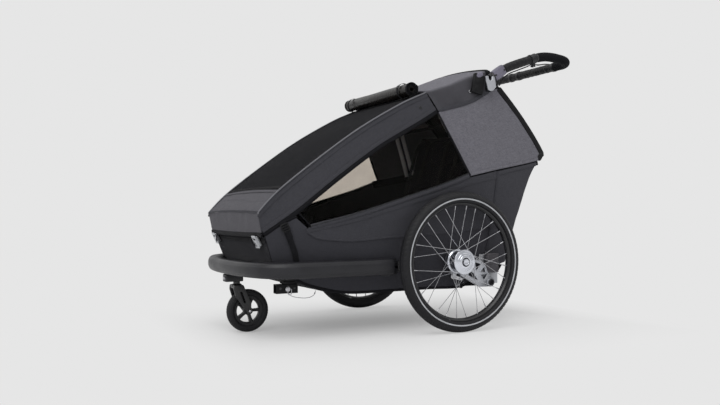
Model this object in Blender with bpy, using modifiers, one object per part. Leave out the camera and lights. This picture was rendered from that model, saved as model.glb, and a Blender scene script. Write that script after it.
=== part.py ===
"""Two-seat child bicycle trailer with a stroller front wheel and a push bar.

Metres, +Z up. The trailer faces -Y and its left side is at +X. Everything hangs on one
datum empty on the ground under the rear axle, so every Y below is counted from the axle.
"""
import math

import bmesh
import bpy
import numpy as np
from mathutils import Matrix, Vector

# Overall layout
AXLE_Y = 0.077
WHEEL_RADIUS = 0.250
WHEEL_TRACK = 0.784
BUMPER_FRONT_Y = -0.770
BUMPER_HALF_WIDTH = 0.360
BAR_REAR_Y = 0.616
TOUCH_GAP = 0.0003
SIDES = (("left", 1.0), ("right", -1.0))

# Outlines of the body seen from the side, as (y, z) from front to rear
RAIL_LINE = [(-0.645, 0.507), (-0.500, 0.617), (-0.349, 0.721), (-0.187, 0.813), (-0.073, 0.866),
             (0.034, 0.904), (0.125, 0.940), (0.205, 0.968)]
HOOD_LINE = [(-0.709, 0.357), (-0.722, 0.424), (-0.716, 0.437), (-0.647, 0.505)]
BAND_LOWER_LINE = [(-0.706, 0.362), (-0.594, 0.434), (-0.437, 0.552), (-0.281, 0.659),
                   (-0.117, 0.751), (-0.042, 0.797)]
ROOF_LOWER_LINE = [(-0.034, 0.799), (0.103, 0.838), (0.192, 0.884)]
SILL_LINE = [(-0.555, 0.376), (-0.380, 0.418), (-0.220, 0.465), (-0.050, 0.515), (0.071, 0.556),
             (0.205, 0.583), (0.437, 0.627)]
REAR_SLOPE_LINE = [(0.209, 0.962), (0.252, 0.910), (0.360, 0.791), (0.460, 0.672), (0.455, 0.645),
                   (0.437, 0.631)]
REAR_LOWER_LINE = [(0.437, 0.620), (0.399, 0.567), (0.368, 0.503), (0.338, 0.425),
                   (0.317, 0.359), (0.284, 0.232)]
BELLY_LINE = [(-0.699, 0.349), (-0.682, 0.300), (-0.662, 0.258), (-0.600, 0.208), (-0.520, 0.172),
              (-0.440, 0.152), (-0.300, 0.150), (-0.100, 0.150), (0.080, 0.150), (0.195, 0.151),
              (0.240, 0.180), (0.272, 0.222)]
SILL_HALF_WIDTHS = [(-0.710, 0.291), (-0.600, 0.315), (-0.450, 0.337), (-0.250, 0.350),
                    (0.000, 0.354), (0.150, 0.348), (0.300, 0.322), (0.460, 0.289)]
CREST_HALF_WIDTH = 0.290
BELLY_TUCK = 0.062
BELLY_Z = 0.150
ROOF_CROWN = 0.024
SKIN = 0.004
SIDE_GAP = 0.0035

# Rear wheels
TYRE_HALF_WIDTH = 0.0235
RIM_INNER_RADIUS = 0.200
RIM_OUTER_RADIUS = 0.2095
RIM_HALF_WIDTH = 0.0135
WHEEL_STEPS = 36
SPOKES_PER_FLANGE = 14
SPOKE_RADIUS = 0.0011
HUB_RADIUS = 0.044
HUB_INNER_X = -0.0300
HUB_OUTER_X = 0.0290
AXLE_RADIUS = 0.006

# Suspension
PIVOT_Y = 0.163
PIVOT_Z = 0.166
ARM_INNER_X = 0.336
ARM_THICKNESS = 0.012
CARRIER_X = 0.3135
FRAME_X = 0.262
FRAME_Z = 0.184
BUMPER_Z = 0.240

# Caster
CASTER_RADIUS = 0.077
CASTER_STEM_Y = -0.703
CASTER_TRAIL = 0.040
CASTER_TYRE_HALF_WIDTH = 0.019

# Upper frame, push bar and inner posts
RAIL_X = 0.272
RAIL_RADIUS = 0.0115
FOLD_PIVOT = (-0.640, 0.462)
BAR_PIVOT = (0.190, 0.930)
BAR_X = 0.312
BAR_RADIUS = 0.0150
BAR_REAR_Z = 1.0245
GRIP_RADIUS = 0.0180
LEVER_PIVOT = (0.404, 0.9985)
POST_BASE = (0.163, 0.570)
POST_TOP = (0.100, 0.780)
POST_X = 0.247

COLLECTION_NAME = "child_bicycle_trailer"
CUTTERS_NAME = "cutters"


def clear_scene():
    """Remove every object of the opened file."""
    for item in list(bpy.data.objects):
        bpy.data.objects.remove(item, do_unlink=True)


def make_collection(name):
    """Return a new collection linked to the scene."""
    collection = bpy.data.collections.new(name)
    bpy.context.scene.collection.children.link(collection)
    return collection


def make_material(name, color, roughness, metallic=0.0):
    """Return a Principled material of one colour."""
    material = bpy.data.materials.new(name)
    material.use_nodes = True
    shader = material.node_tree.nodes["Principled BSDF"]
    shader.inputs["Base Color"].default_value = (*color, 1.0)
    shader.inputs["Roughness"].default_value = roughness
    shader.inputs["Metallic"].default_value = metallic
    material.diffuse_color = (*color, 1.0)
    return material


def make_empty(name, location, parent=None):
    """Return an empty that carries the pieces of one joint."""
    empty = bpy.data.objects.new(name, None)
    parts.objects.link(empty)
    empty.location = location
    empty.parent = parent
    return empty


def add_mesh(name, vertices, faces, material, parent):
    """Return a mesh object made from plain vertices and faces."""
    mesh = bpy.data.meshes.new(name)
    mesh.from_pydata([tuple(map(float, vertex)) for vertex in vertices], [], faces)
    mesh.materials.append(material)
    item = bpy.data.objects.new(name, mesh)
    parts.objects.link(item)
    item.parent = parent
    return item


def smooth_shading(item, angle=math.radians(40)):
    """Shade a mesh object smooth, with its hard edges kept sharp."""
    item.data.shade_smooth()
    item.data.set_sharp_from_angle(angle=angle)


def follow(line, count):
    """Return count points spread evenly on a Catmull-Rom curve through a list of points."""
    keys = np.array(line, dtype=float)
    padded = np.vstack([2 * keys[0] - keys[1], keys, 2 * keys[-1] - keys[-2]])
    dense = []
    for i in range(len(keys) - 1):
        p0, p1, p2, p3 = padded[i:i + 4]
        for t in np.linspace(0.0, 1.0, 16, endpoint=False):
            dense.append(0.5 * (2 * p1 + (p2 - p0) * t + (2 * p0 - 5 * p1 + 4 * p2 - p3) * t ** 2
                                + (3 * p1 - p0 - 3 * p2 + p3) * t ** 3))
    dense = np.array(dense + [keys[-1]])
    steps = np.r_[0.0, np.cumsum(np.linalg.norm(np.diff(dense, axis=0), axis=1))]
    even = np.linspace(0.0, steps[-1], count)
    return np.column_stack([np.interp(even, steps, dense[:, k]) for k in range(dense.shape[1])])


def height_on(line, y):
    """Return the height of a side outline at y."""
    keys = np.array(line)
    return np.interp(y, keys[:, 0], keys[:, 1])


def side_x(y, z):
    """Return the half width of the fabric body at a place seen from the side."""
    y, z = np.asarray(y, dtype=float), np.asarray(z, dtype=float)
    widths = np.array(SILL_HALF_WIDTHS)
    at_sill = np.interp(y, widths[:, 0], widths[:, 1])
    sill = height_on(SILL_LINE, y)
    crest = np.maximum(height_on(RAIL_LINE, y), sill + 0.05)
    up = np.clip((z - sill) / (crest - sill), 0.0, 1.0)
    down = np.clip((sill - z) / (sill - BELLY_Z), 0.0, 1.0)
    return at_sill + (CREST_HALF_WIDTH - at_sill) * up - BELLY_TUCK * down ** 1.5


def skin(name, grid, thickness, material, parent, side=1.0):
    """Return a sheet of the given thickness whose outer face is a grid of points.

    The grid is rows by columns by 3, and for side -1 it is mirrored to the other side.
    """
    grid = np.array(grid, dtype=float)
    if parent is not datum:
        grid = grid - np.array(parent.location)
    if side < 0:
        grid = grid[:, ::-1].copy()
        grid[..., 0] *= -1.0
    rows, columns = grid.shape[:2]
    faces = [(r * columns + c, r * columns + c + 1, (r + 1) * columns + c + 1, (r + 1) * columns + c)
             for r in range(rows - 1) for c in range(columns - 1)]
    item = add_mesh(name, grid.reshape(-1, 3), faces, material, parent)
    shell = item.modifiers.new("wall", "SOLIDIFY")
    shell.thickness = thickness
    shell.offset = -1.0
    shell.use_even_offset = True
    smooth_shading(item)
    return item


def side_grid(lower, upper, columns, rows, rear=None):
    """Return a grid on the body's side between a lower and an upper outline.

    Its front edge is straight, and its rear edge too, unless a rear outline is given.
    """
    low, high = follow(lower, columns), follow(upper, columns)
    last = np.linspace(low[-1], high[-1], rows) if rear is None else follow(rear, rows)
    share = np.linspace(0.0, 1.0, columns)[:, None]
    grid = np.empty((rows, columns, 3))
    for r, t in enumerate(np.linspace(0.0, 1.0, rows)):
        place = low + (high - low) * t
        place += (last[r] - place[-1]) * share
        grid[r, :, 0] = side_x(place[:, 0], place[:, 1])
        grid[r, :, 1:] = place
    return grid


def cross_grid(line, count, columns, half_width=None, crown=0.0, crown_shape=None):
    """Return a grid that runs across the body along a side outline, bowed by crown.

    Without a half width, it runs from the inside of one side wall to the other.
    """
    points = follow(line, count)
    if half_width is None:
        half = side_x(points[:, 0], points[:, 1]) - SKIN - 0.0015
    else:
        half = np.full(count, half_width)
    slope = np.gradient(points, axis=0)
    normal = np.column_stack([-slope[:, 1], slope[:, 0]])
    normal /= np.linalg.norm(normal, axis=1)[:, None]
    across = np.linspace(-1.0, 1.0, columns)
    shape = np.ones(count) if crown_shape is None else crown_shape(np.linspace(0, 1, count))
    lift = crown * shape[:, None] * (1.0 - across[None, :] ** 2)
    grid = np.empty((count, columns, 3))
    grid[..., 0] = half[:, None] * across[None, :]
    grid[..., 1] = points[:, 0, None] + normal[:, 0, None] * lift
    grid[..., 2] = points[:, 1, None] + normal[:, 1, None] * lift
    return grid


def add_tube(name, runs, radius, material, parent, resolution=2, closed=False, flat=0.0):
    """Return a tube object along one or more runs of points, with filled caps."""
    curve = bpy.data.curves.new(name, "CURVE")
    curve.dimensions = "3D"
    curve.bevel_depth = radius
    curve.bevel_resolution = resolution
    curve.extrude = flat
    curve.use_fill_caps = True
    for run in runs:
        spline = curve.splines.new("POLY")
        spline.points.add(len(run) - 1)
        for point, place in zip(spline.points, run):
            point.co = (*map(float, place), 1.0)
        spline.use_cyclic_u = closed
        spline.use_smooth = True
    curve.materials.append(material)
    item = bpy.data.objects.new(name, curve)
    parts.objects.link(item)
    item.parent = parent
    return item


def rounded_run(corners, radius, arc_steps=3):
    """Return a path through corner points whose corners are turned into arcs."""
    corners = [Vector(corner) for corner in corners]
    path = [corners[0]]
    for before, corner, after in zip(corners, corners[1:], corners[2:]):
        back, ahead = (before - corner).normalized(), (after - corner).normalized()
        half = back.angle(ahead) / 2.0
        reach = radius / math.tan(half)
        middle = corner + (back + ahead).normalized() * radius / math.sin(half)
        start, end = corner + back * reach - middle, corner + ahead * reach - middle
        turn = start.rotation_difference(end)
        for i in range(arc_steps + 1):
            path.append(middle + Matrix.Rotation(turn.angle * i / arc_steps, 3, turn.axis) @ start)
    path.append(corners[-1])
    return path


def add_outline(name, loops, thickness, material, parent, location, rotation):
    """Return a flat plate from a 2D outline; loops after the first are its holes."""
    curve = bpy.data.curves.new(name, "CURVE")
    curve.dimensions = "2D"
    curve.fill_mode = "BOTH"
    curve.extrude = thickness / 2.0
    for loop in loops:
        spline = curve.splines.new("POLY")
        spline.points.add(len(loop) - 1)
        for point, place in zip(spline.points, loop):
            point.co = (place[0], place[1], 0.0, 1.0)
        spline.use_cyclic_u = True
    curve.materials.append(material)
    item = bpy.data.objects.new(name, curve)
    parts.objects.link(item)
    item.parent = parent
    item.location = location
    item.rotation_euler = rotation
    return item


def ring(center, radius, count=16, start=0.0, end=2 * math.pi):
    """Return points on a circle or an arc."""
    closed = abs(end - start - 2 * math.pi) < 1e-6
    angles = [start + (end - start) * i / (count if closed else count - 1) for i in range(count)]
    return [(center[0] + radius * math.cos(a), center[1] + radius * math.sin(a)) for a in angles]


def add_turned(name, profile, steps, material, parent, location=(0, 0, 0), axis="X", closed=False):
    """Return a turned piece; the profile is (radius, height) down its outer side."""
    vertices = [(radius, 0.0, height) for radius, height in profile]
    mesh = bpy.data.meshes.new(name)
    last = len(vertices)
    edges = [(i, i + 1) for i in range(last - 1)] + ([(last - 1, 0)] if closed else [])
    mesh.from_pydata(vertices, edges, [])
    mesh.materials.append(material)
    item = bpy.data.objects.new(name, mesh)
    parts.objects.link(item)
    item.parent = parent
    item.location = location
    if axis == "X":
        item.rotation_euler = (0.0, math.radians(90), 0.0)
    screw = item.modifiers.new("turn", "SCREW")
    screw.steps = steps
    screw.render_steps = steps
    screw.use_merge_vertices = True
    screw.merge_threshold = 0.0001
    screw.use_smooth_shade = True
    return item


def add_cylinder(name, radius, depth, steps, material, parent, location=(0, 0, 0), axis="Z", bevel=0.0):
    """Return a plain cylinder centred on location, with a small rounded edge if asked."""
    turn = {"X": Matrix.Rotation(math.radians(90), 4, "Y"), "Y": Matrix.Rotation(math.radians(90), 4, "X"),
            "Z": Matrix.Identity(4)}[axis]
    mesh = bpy.data.meshes.new(name)
    shape = bmesh.new()
    bmesh.ops.create_cone(shape, cap_ends=True, segments=steps, radius1=radius, radius2=radius,
                          depth=depth, matrix=turn)
    shape.to_mesh(mesh)
    shape.free()
    mesh.materials.append(material)
    item = bpy.data.objects.new(name, mesh)
    parts.objects.link(item)
    item.parent = parent
    item.location = location
    if bevel:
        add_bevel(item, bevel)
    smooth_shading(item)
    return item


def add_box(name, size, material, parent, location=(0, 0, 0), rotation=(0, 0, 0), bevel=0.0, segments=1):
    """Return a box centred on location, with rounded edges if asked."""
    mesh = bpy.data.meshes.new(name)
    shape = bmesh.new()
    bmesh.ops.create_cube(shape, size=1.0)
    bmesh.ops.scale(shape, vec=size, verts=shape.verts)
    shape.to_mesh(mesh)
    shape.free()
    mesh.materials.append(material)
    item = bpy.data.objects.new(name, mesh)
    parts.objects.link(item)
    item.parent = parent
    item.location = location
    item.rotation_euler = rotation
    if bevel:
        add_bevel(item, bevel, segments)
    return item


def add_bevel(item, width, segments=1):
    """Round the sharp edges of a mesh object."""
    bevel = item.modifiers.new("rounded", "BEVEL")
    bevel.width = width
    bevel.segments = segments
    bevel.limit_method = "ANGLE"
    bevel.angle_limit = math.radians(40)


def to_mesh_object(item):
    """Turn a curve or a modified object into a plain mesh object in its place."""
    bpy.context.view_layer.update()
    evaluated = item.evaluated_get(bpy.context.evaluated_depsgraph_get())
    mesh = bpy.data.meshes.new_from_object(evaluated)
    shape = bmesh.new()
    shape.from_mesh(mesh)
    bmesh.ops.remove_doubles(shape, verts=shape.verts, dist=0.00001)
    shape.to_mesh(mesh)
    shape.free()
    solid = bpy.data.objects.new("solid", mesh)
    parts.objects.link(solid)
    solid.parent = item.parent
    bpy.context.view_layer.update()
    solid.matrix_world = item.matrix_world.copy()
    name = item.name
    bpy.data.objects.remove(item, do_unlink=True)
    solid.name = name
    return solid


def hide_as_guide(item):
    """Move an object to the cutters, where it is only a guide."""
    parts.objects.unlink(item)
    cutters.objects.link(item)
    item.hide_render = True
    item.display_type = "WIRE"


def cut(item, cutter):
    """Cut one mesh object out of another and keep the cutter as a guide."""
    hide_as_guide(cutter)
    boolean = item.modifiers.new("cut", "BOOLEAN")
    boolean.operation = "DIFFERENCE"
    boolean.solver = "EXACT"
    boolean.object = cutter


def fuse(name, items):
    """Fuse overlapping solids into one object of the given name."""
    solids = [to_mesh_object(item) for item in items]
    keep = solids[0]
    for other in solids[1:]:
        hide_as_guide(other)
        boolean = keep.modifiers.new("weld", "BOOLEAN")
        boolean.operation = "UNION"
        boolean.solver = "EXACT"
        boolean.object = other
    keep.name = name
    smooth_shading(keep)
    return keep


def pillow(name, size, crown, channels, material, parent, location, rotation, columns=15, rows=10):
    """Return a cushion: crowned top with sewn channels, drawn-in sides and a flat underside."""
    width, depth, height = size
    across, along = np.linspace(-1, 1, columns), np.linspace(-1, 1, rows)
    u, v = np.meshgrid(across, along)
    edge = (1 - np.abs(u) ** 6) * (1 - np.abs(v) ** 6)
    drawn_in = 1.0 - 0.035 * (1 - u ** 2) * np.abs(v) ** 3
    drawn_in_x = 1.0 - 0.025 * (1 - v ** 2) * np.abs(u) ** 3
    channel = np.abs(np.cos(math.pi * channels * (v + 1) / 2)) ** 0.5
    top = height * 0.45 + edge * (crown * (0.35 + 0.65 * channel) * (1 - 0.25 * u ** 2))
    flat_x, flat_y = u * drawn_in_x * width / 2, v * drawn_in * depth / 2
    upper = np.stack([flat_x, flat_y, top], axis=-1).reshape(-1, 3)
    lower = np.stack([flat_x * 0.97, flat_y * 0.97, np.full_like(top, -height * 0.45)], axis=-1)
    lower = lower.reshape(-1, 3)
    count = rows * columns
    faces = []
    for r in range(rows - 1):
        for c in range(columns - 1):
            a, b = r * columns + c, r * columns + c + 1
            d, e = (r + 1) * columns + c, (r + 1) * columns + c + 1
            faces.append((a, b, e, d))
            faces.append((count + a, count + d, count + e, count + b))
    rim = ([c for c in range(columns)] + [r * columns + columns - 1 for r in range(1, rows)]
           + [(rows - 1) * columns + c for c in range(columns - 2, -1, -1)]
           + [r * columns for r in range(rows - 2, 0, -1)])
    for a, b in zip(rim, rim[1:] + rim[:1]):
        faces.append((a, count + a, count + b, b))
    item = add_mesh(name, np.vstack([upper, lower]), faces, material, parent)
    item.location = location
    item.rotation_euler = rotation
    smooth_shading(item)
    return item


def build_wheel(label, side):
    """Build one rear wheel on its own empty at the hub centre."""
    arm = make_empty("arm_pivot_" + label, (side * ARM_INNER_X, PIVOT_Y, PIVOT_Z), datum)
    offset = Vector((side * (WHEEL_TRACK / 2 - ARM_INNER_X), -PIVOT_Y, WHEEL_RADIUS - PIVOT_Z))
    hub_empty = make_empty("wheel_axis_" + label, offset, arm)

    section_height = WHEEL_RADIUS - RIM_OUTER_RADIUS
    crown_radius = WHEEL_RADIUS - TYRE_HALF_WIDTH
    outer = [(crown_radius + TYRE_HALF_WIDTH * math.sin(math.radians(a)),
              TYRE_HALF_WIDTH * math.cos(math.radians(a))) for a in range(0, 181, 45)]
    bead = RIM_OUTER_RADIUS + TOUCH_GAP
    bead_half = RIM_HALF_WIDTH - 0.001
    profile = [(bead, bead_half)] + [(crown_radius - 0.4 * section_height, 0.9 * TYRE_HALF_WIDTH)]
    profile += outer + [(crown_radius - 0.4 * section_height, -0.9 * TYRE_HALF_WIDTH), (bead, -bead_half)]
    add_turned("tyre_" + label, profile, WHEEL_STEPS, RUBBER, hub_empty, closed=True)

    half = RIM_HALF_WIDTH
    rim = [(RIM_OUTER_RADIUS, half), (RIM_OUTER_RADIUS, -half), (RIM_OUTER_RADIUS - 0.004, -half),
           (RIM_INNER_RADIUS, -half * 0.45), (RIM_INNER_RADIUS, half * 0.45),
           (RIM_OUTER_RADIUS - 0.004, half)]
    add_turned("rim_" + label, rim, WHEEL_STEPS, BLACK_METAL, hub_empty, closed=True)

    bore = AXLE_RADIUS + 0.0006
    hub = [(bore, HUB_OUTER_X - 0.009), (0.0128, HUB_OUTER_X - 0.009), (0.0128, HUB_OUTER_X),
           (0.024, HUB_OUTER_X), (0.030, HUB_OUTER_X - 0.003), (0.038, HUB_OUTER_X - 0.006),
           (HUB_RADIUS, HUB_OUTER_X - 0.007), (HUB_RADIUS, HUB_OUTER_X - 0.013),
           (HUB_RADIUS - 0.006, HUB_OUTER_X - 0.016), (HUB_RADIUS - 0.005, HUB_INNER_X + 0.012),
           (HUB_RADIUS, HUB_INNER_X + 0.009), (HUB_RADIUS, HUB_INNER_X), (bore, HUB_INNER_X)]
    if side < 0:
        hub = [(radius, -height) for radius, height in reversed(hub)]
    hub_body = add_turned("spoked_hub_" + label, hub, 24, ALUMINIUM, hub_empty, closed=True)

    solids = [hub_body]
    tip = RIM_INNER_RADIUS * math.cos(math.pi / WHEEL_STEPS) - SPOKE_RADIUS
    for flange, hub_x in ((1.0, 0.0190), (-1.0, -0.0255)):
        for i in range(SPOKES_PER_FLANGE):
            lean = 1.0 if i % 2 else -1.0
            angle = 2 * math.pi * (i + (0.25 if flange > 0 else 0.75)) / SPOKES_PER_FLANGE
            root_angle = angle + lean * math.radians(52)
            base = HUB_RADIUS - 0.003
            start = (side * (hub_x + lean * 0.0015), base * math.cos(root_angle), base * math.sin(root_angle))
            end = (side * (flange * 0.0022 + 0.0013 * lean), tip * math.cos(angle), tip * math.sin(angle))
            solids.append(add_tube("spoke", [[start, end]], SPOKE_RADIUS, ALUMINIUM, hub_empty, resolution=0))
    fuse("spoked_hub_" + label, solids)

    arm_x = ARM_INNER_X - WHEEL_TRACK / 2
    axle_length = HUB_OUTER_X - 0.0095 - arm_x
    add_cylinder("wheel_axle_" + label, AXLE_RADIUS, axle_length, 12, STEEL, hub_empty,
                 (side * (arm_x + axle_length / 2), 0, 0), "X")
    add_cylinder("axle_button_" + label, 0.0120, 0.0090, 16, ALUMINIUM, hub_empty,
                 (side * HUB_OUTER_X, 0, 0), "X", bevel=0.0015)
    return arm


def build_suspension(label, side, arm):
    """Build the swing arm with its openings, and the brake arm beside the drum."""
    hub_z = WHEEL_RADIUS - PIVOT_Z
    hub_y = -PIVOT_Y
    outline = ring((hub_y, hub_z), 0.034, 9, math.radians(75), math.radians(285))
    outline += [(-0.128, 0.026), (-0.050, -0.015)]
    outline += ring((0.0, 0.0), 0.0165, 7, math.radians(-110), math.radians(80))
    outline += [(-0.013, 0.037), (-0.022, 0.060), (-0.044, 0.081), (-0.076, 0.087)]
    windows = [[(-0.071, 0.076), (-0.045, 0.069), (-0.065, 0.045)],
               [(-0.030, 0.058), (-0.025, 0.038), (-0.048, 0.042)],
               [(-0.045, 0.030), (-0.016, 0.031), (-0.031, 0.011)],
               [(-0.104, 0.052), (-0.078, 0.036), (-0.060, 0.010), (-0.100, 0.030)]]
    bores = [ring((hub_y, hub_z), AXLE_RADIUS + 0.0006, 12), ring((0.0, 0.0), 0.0096, 12)]
    plate = add_outline("swing_arm_" + label, [outline] + windows + bores, ARM_THICKNESS, ALUMINIUM, arm,
                        (side * ARM_THICKNESS / 2, 0, 0), (math.radians(90), 0, math.radians(90)))
    to_mesh_object(plate)

    brake_x = side * (ARM_THICKNESS + 0.006)
    brake = make_empty("brake_arm_axis_" + label, (brake_x, hub_y - 0.012, hub_z - 0.055), arm)
    lever = ring((0, 0), 0.008, 9, math.radians(90), math.radians(270)) + [(0.040, -0.016), (0.043, -0.008)]
    add_outline("brake_arm_" + label, [lever], 0.004, STEEL, brake, (0, 0, 0),
                (math.radians(90), 0, math.radians(90)))


def build_caster():
    """Build the stroller front wheel: socket, fork, wheel and release button."""
    swivel = make_empty("caster_swivel", (0, CASTER_STEM_Y, CASTER_RADIUS), datum)
    axis = make_empty("caster_axis", (0, CASTER_TRAIL, 0), swivel)
    block_z, sleeve_z = 0.1977 - CASTER_RADIUS, 0.2050 - CASTER_RADIUS
    sleeve = add_cylinder("sleeve", 0.0195, 0.0420, 20, DARK_PLASTIC, swivel, (0, 0, sleeve_z))
    block = add_box("block", (0.042, 0.066, 0.0268), DARK_PLASTIC, swivel, (0, -0.0130, block_z), bevel=0.004,
                    segments=2)
    socket = fuse("caster_socket", (sleeve, block))
    cut(socket, add_cylinder("stem_bore", 0.0128, 0.080, 20, DARK_PLASTIC, swivel, (0, 0, sleeve_z)))
    button = (0.010, -0.0460, block_z)
    cut(socket, add_cylinder("button_bore", 0.0060, 0.012, 12, DARK_PLASTIC, swivel, button, "Y"))
    add_cylinder("caster_button", 0.0055, 0.009, 12, STEEL, swivel, button, "Y", bevel=0.001)

    leg_x = CASTER_TYRE_HALF_WIDTH + 0.006
    crown_z = CASTER_RADIUS + 0.016
    stem = add_cylinder("caster_stem", 0.0122, 0.052, 20, BLACK_METAL, swivel, (0, 0, crown_z + 0.022))
    collar = add_cylinder("caster_collar", 0.0185, 0.010, 20, BLACK_METAL, swivel, (0, 0, crown_z))
    legs = []
    for leg_side in (-1.0, 1.0):
        outline = ring((CASTER_TRAIL, 0.0), 0.011, 9, math.radians(-120), math.radians(60))
        outline += [(0.017, crown_z + 0.002), (-0.017, crown_z + 0.002), (-0.019, crown_z - 0.014)]
        legs.append(add_outline("caster_leg", [outline], 0.006, BLACK_METAL, swivel,
                                (leg_side * leg_x, 0, 0), (math.radians(90), 0, math.radians(90))))
    bridge = add_box("caster_bridge", (2 * leg_x - 0.002, 0.034, 0.014), BLACK_METAL, swivel,
                     (0, 0, crown_z - 0.004))
    fork = fuse("caster_fork", (collar, stem, bridge, *legs))
    cut(fork, add_cylinder("caster_axle_bore", 0.0048, 0.080, 12, BLACK_METAL, axis, (0, 0, 0), "X"))
    add_cylinder("caster_axle", 0.0045, 2 * leg_x + 0.014, 12, STEEL, axis, (0, 0, 0), "X", bevel=0.0008)

    tread = CASTER_RADIUS
    width = CASTER_TYRE_HALF_WIDTH
    inner = 0.053
    tyre = [(inner + TOUCH_GAP, 0.014), (0.064, width), (tread - 0.006, 0.015), (tread - 0.001, 0.008),
            (tread, 0.0), (tread - 0.001, -0.008), (tread - 0.006, -0.015), (0.064, -width),
            (inner + TOUCH_GAP, -0.014)]
    add_turned("caster_tyre", tyre, 28, RUBBER, axis, closed=True)
    wheel = [(0.0049, 0.017), (0.014, 0.017), (0.016, 0.008), (0.043, 0.008), (0.045, 0.014),
             (inner, 0.014), (inner, -0.014), (0.045, -0.014), (0.043, -0.008), (0.016, -0.008),
             (0.014, -0.017), (0.0049, -0.017)]
    rim = add_turned("caster_rim", wheel, 28, DARK_PLASTIC, axis, closed=True)
    windows = []
    for i in range(5):
        middle = 2 * math.pi * i / 5 + math.radians(18)
        wide, narrow = math.radians(25), math.radians(15)
        loop = [(0.040 * math.cos(middle + s * wide), 0.040 * math.sin(middle + s * wide))
                for s in (-1.0, -0.33, 0.33, 1.0)]
        loop += [(0.021 * math.cos(middle + s * narrow), 0.021 * math.sin(middle + s * narrow))
                 for s in (1.0, -1.0)]
        windows.append(loop)
    for i, loop in enumerate(windows):
        window = add_outline("caster_rim_window_%d" % (i + 1), [loop], 0.040, DARK_PLASTIC, axis, (0, 0, 0),
                             (math.radians(90), 0, math.radians(90)))
        cut(rim, to_mesh_object(window))


def build_chassis():
    """Build the lower frame, the bumper, the floor and the fixed suspension parts."""
    half_loop = [(FRAME_X, -0.605, 0.236), (FRAME_X, -0.470, FRAME_Z), (FRAME_X, 0.190, FRAME_Z)]
    front = (0.0, *half_loop[0][1:])
    other_half = [(-x, y, z) for x, y, z in reversed(half_loop)]
    loop = rounded_run([front] + half_loop + other_half + [front], 0.050)
    pieces = [add_tube("lower_frame", [loop[:-1]], 0.0115, ALUMINIUM, datum, closed=True)]
    for y in (-0.420, 0.020):
        pieces.append(add_cylinder("cross_tube", 0.0100, 2 * FRAME_X, 12, ALUMINIUM, datum,
                                   (0, y, FRAME_Z), "X"))
    pieces.append(add_cylinder("pivot_tube", 0.0105, 2 * (ARM_INNER_X - 0.0010), 14, ALUMINIUM, datum,
                               (0, PIVOT_Y, PIVOT_Z), "X"))
    for _, side in SIDES:
        pieces.append(add_box("carrier_plate", (0.005, 0.084, 0.112), ALUMINIUM, datum,
                              (side * CARRIER_X, 0.176, 0.214), bevel=0.010, segments=2))
    fuse("lower_frame", pieces)

    half_height, half_depth = 0.028, 0.022
    outer = BUMPER_HALF_WIDTH - half_depth
    half = [(outer, -0.235), (outer, -0.400), (outer, -0.560), (outer - 0.004, -0.610),
            (outer - 0.018, -0.655), (outer - 0.046, -0.692), (outer - 0.090, -0.715),
            (outer - 0.160, -0.734), (outer - 0.250, -0.745), (0.0, BUMPER_FRONT_Y + half_depth)]
    points = [(x, y, BUMPER_Z) for x, y in half] + [(-x, y, BUMPER_Z) for x, y in reversed(half[:-1])]
    add_tube("bumper", [points], half_depth, DARK_PLASTIC, datum, flat=half_height - half_depth)

    floor = cross_grid(BELLY_LINE, 22, 2)
    skin("floor_pan", floor[:, ::-1], SKIN, DARK_FABRIC, datum)

    for label, side in SIDES:
        add_box("suspension_damper_" + label, (0.0185, 0.054, 0.072), GREY_RUBBER, datum,
                (side * (CARRIER_X + 0.01205), 0.185, 0.236), bevel=0.008, segments=2)
        bolt = [(0.0, 0.0046), (0.0115, 0.0046), (0.0115, 0.0006), (0.0086, 0.0006),
                (0.0086, -ARM_THICKNESS - 0.0005), (0.0, -ARM_THICKNESS - 0.0005)]
        if side < 0:
            bolt = [(radius, -height) for radius, height in reversed(bolt)]
        add_turned("pivot_bolt_" + label, bolt, 16, DARK_PLASTIC, datum,
                   (side * (ARM_INNER_X + ARM_THICKNESS), PIVOT_Y, PIVOT_Z))
        add_box("hood_hook_" + label, (0.036, 0.004, 0.046), ALUMINIUM, datum, (side * 0.235, -0.7120, 0.333),
                rotation=(math.radians(39), 0, 0), bevel=0.0015)
        route = [(0.318, 0.060, 0.176), (0.322, 0.056, 0.166), (0.328, 0.050, 0.157), (0.334, 0.042, 0.152),
                 (0.341, 0.032, 0.152), (0.347, 0.022, 0.157), (0.352, 0.016, 0.166), (0.354, 0.0145, 0.173)]
        add_tube("brake_cable_" + label, [[(side * x, y, z) for x, y, z in follow(route, 14)]], 0.0022,
                 RUBBER, datum, resolution=1)


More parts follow.
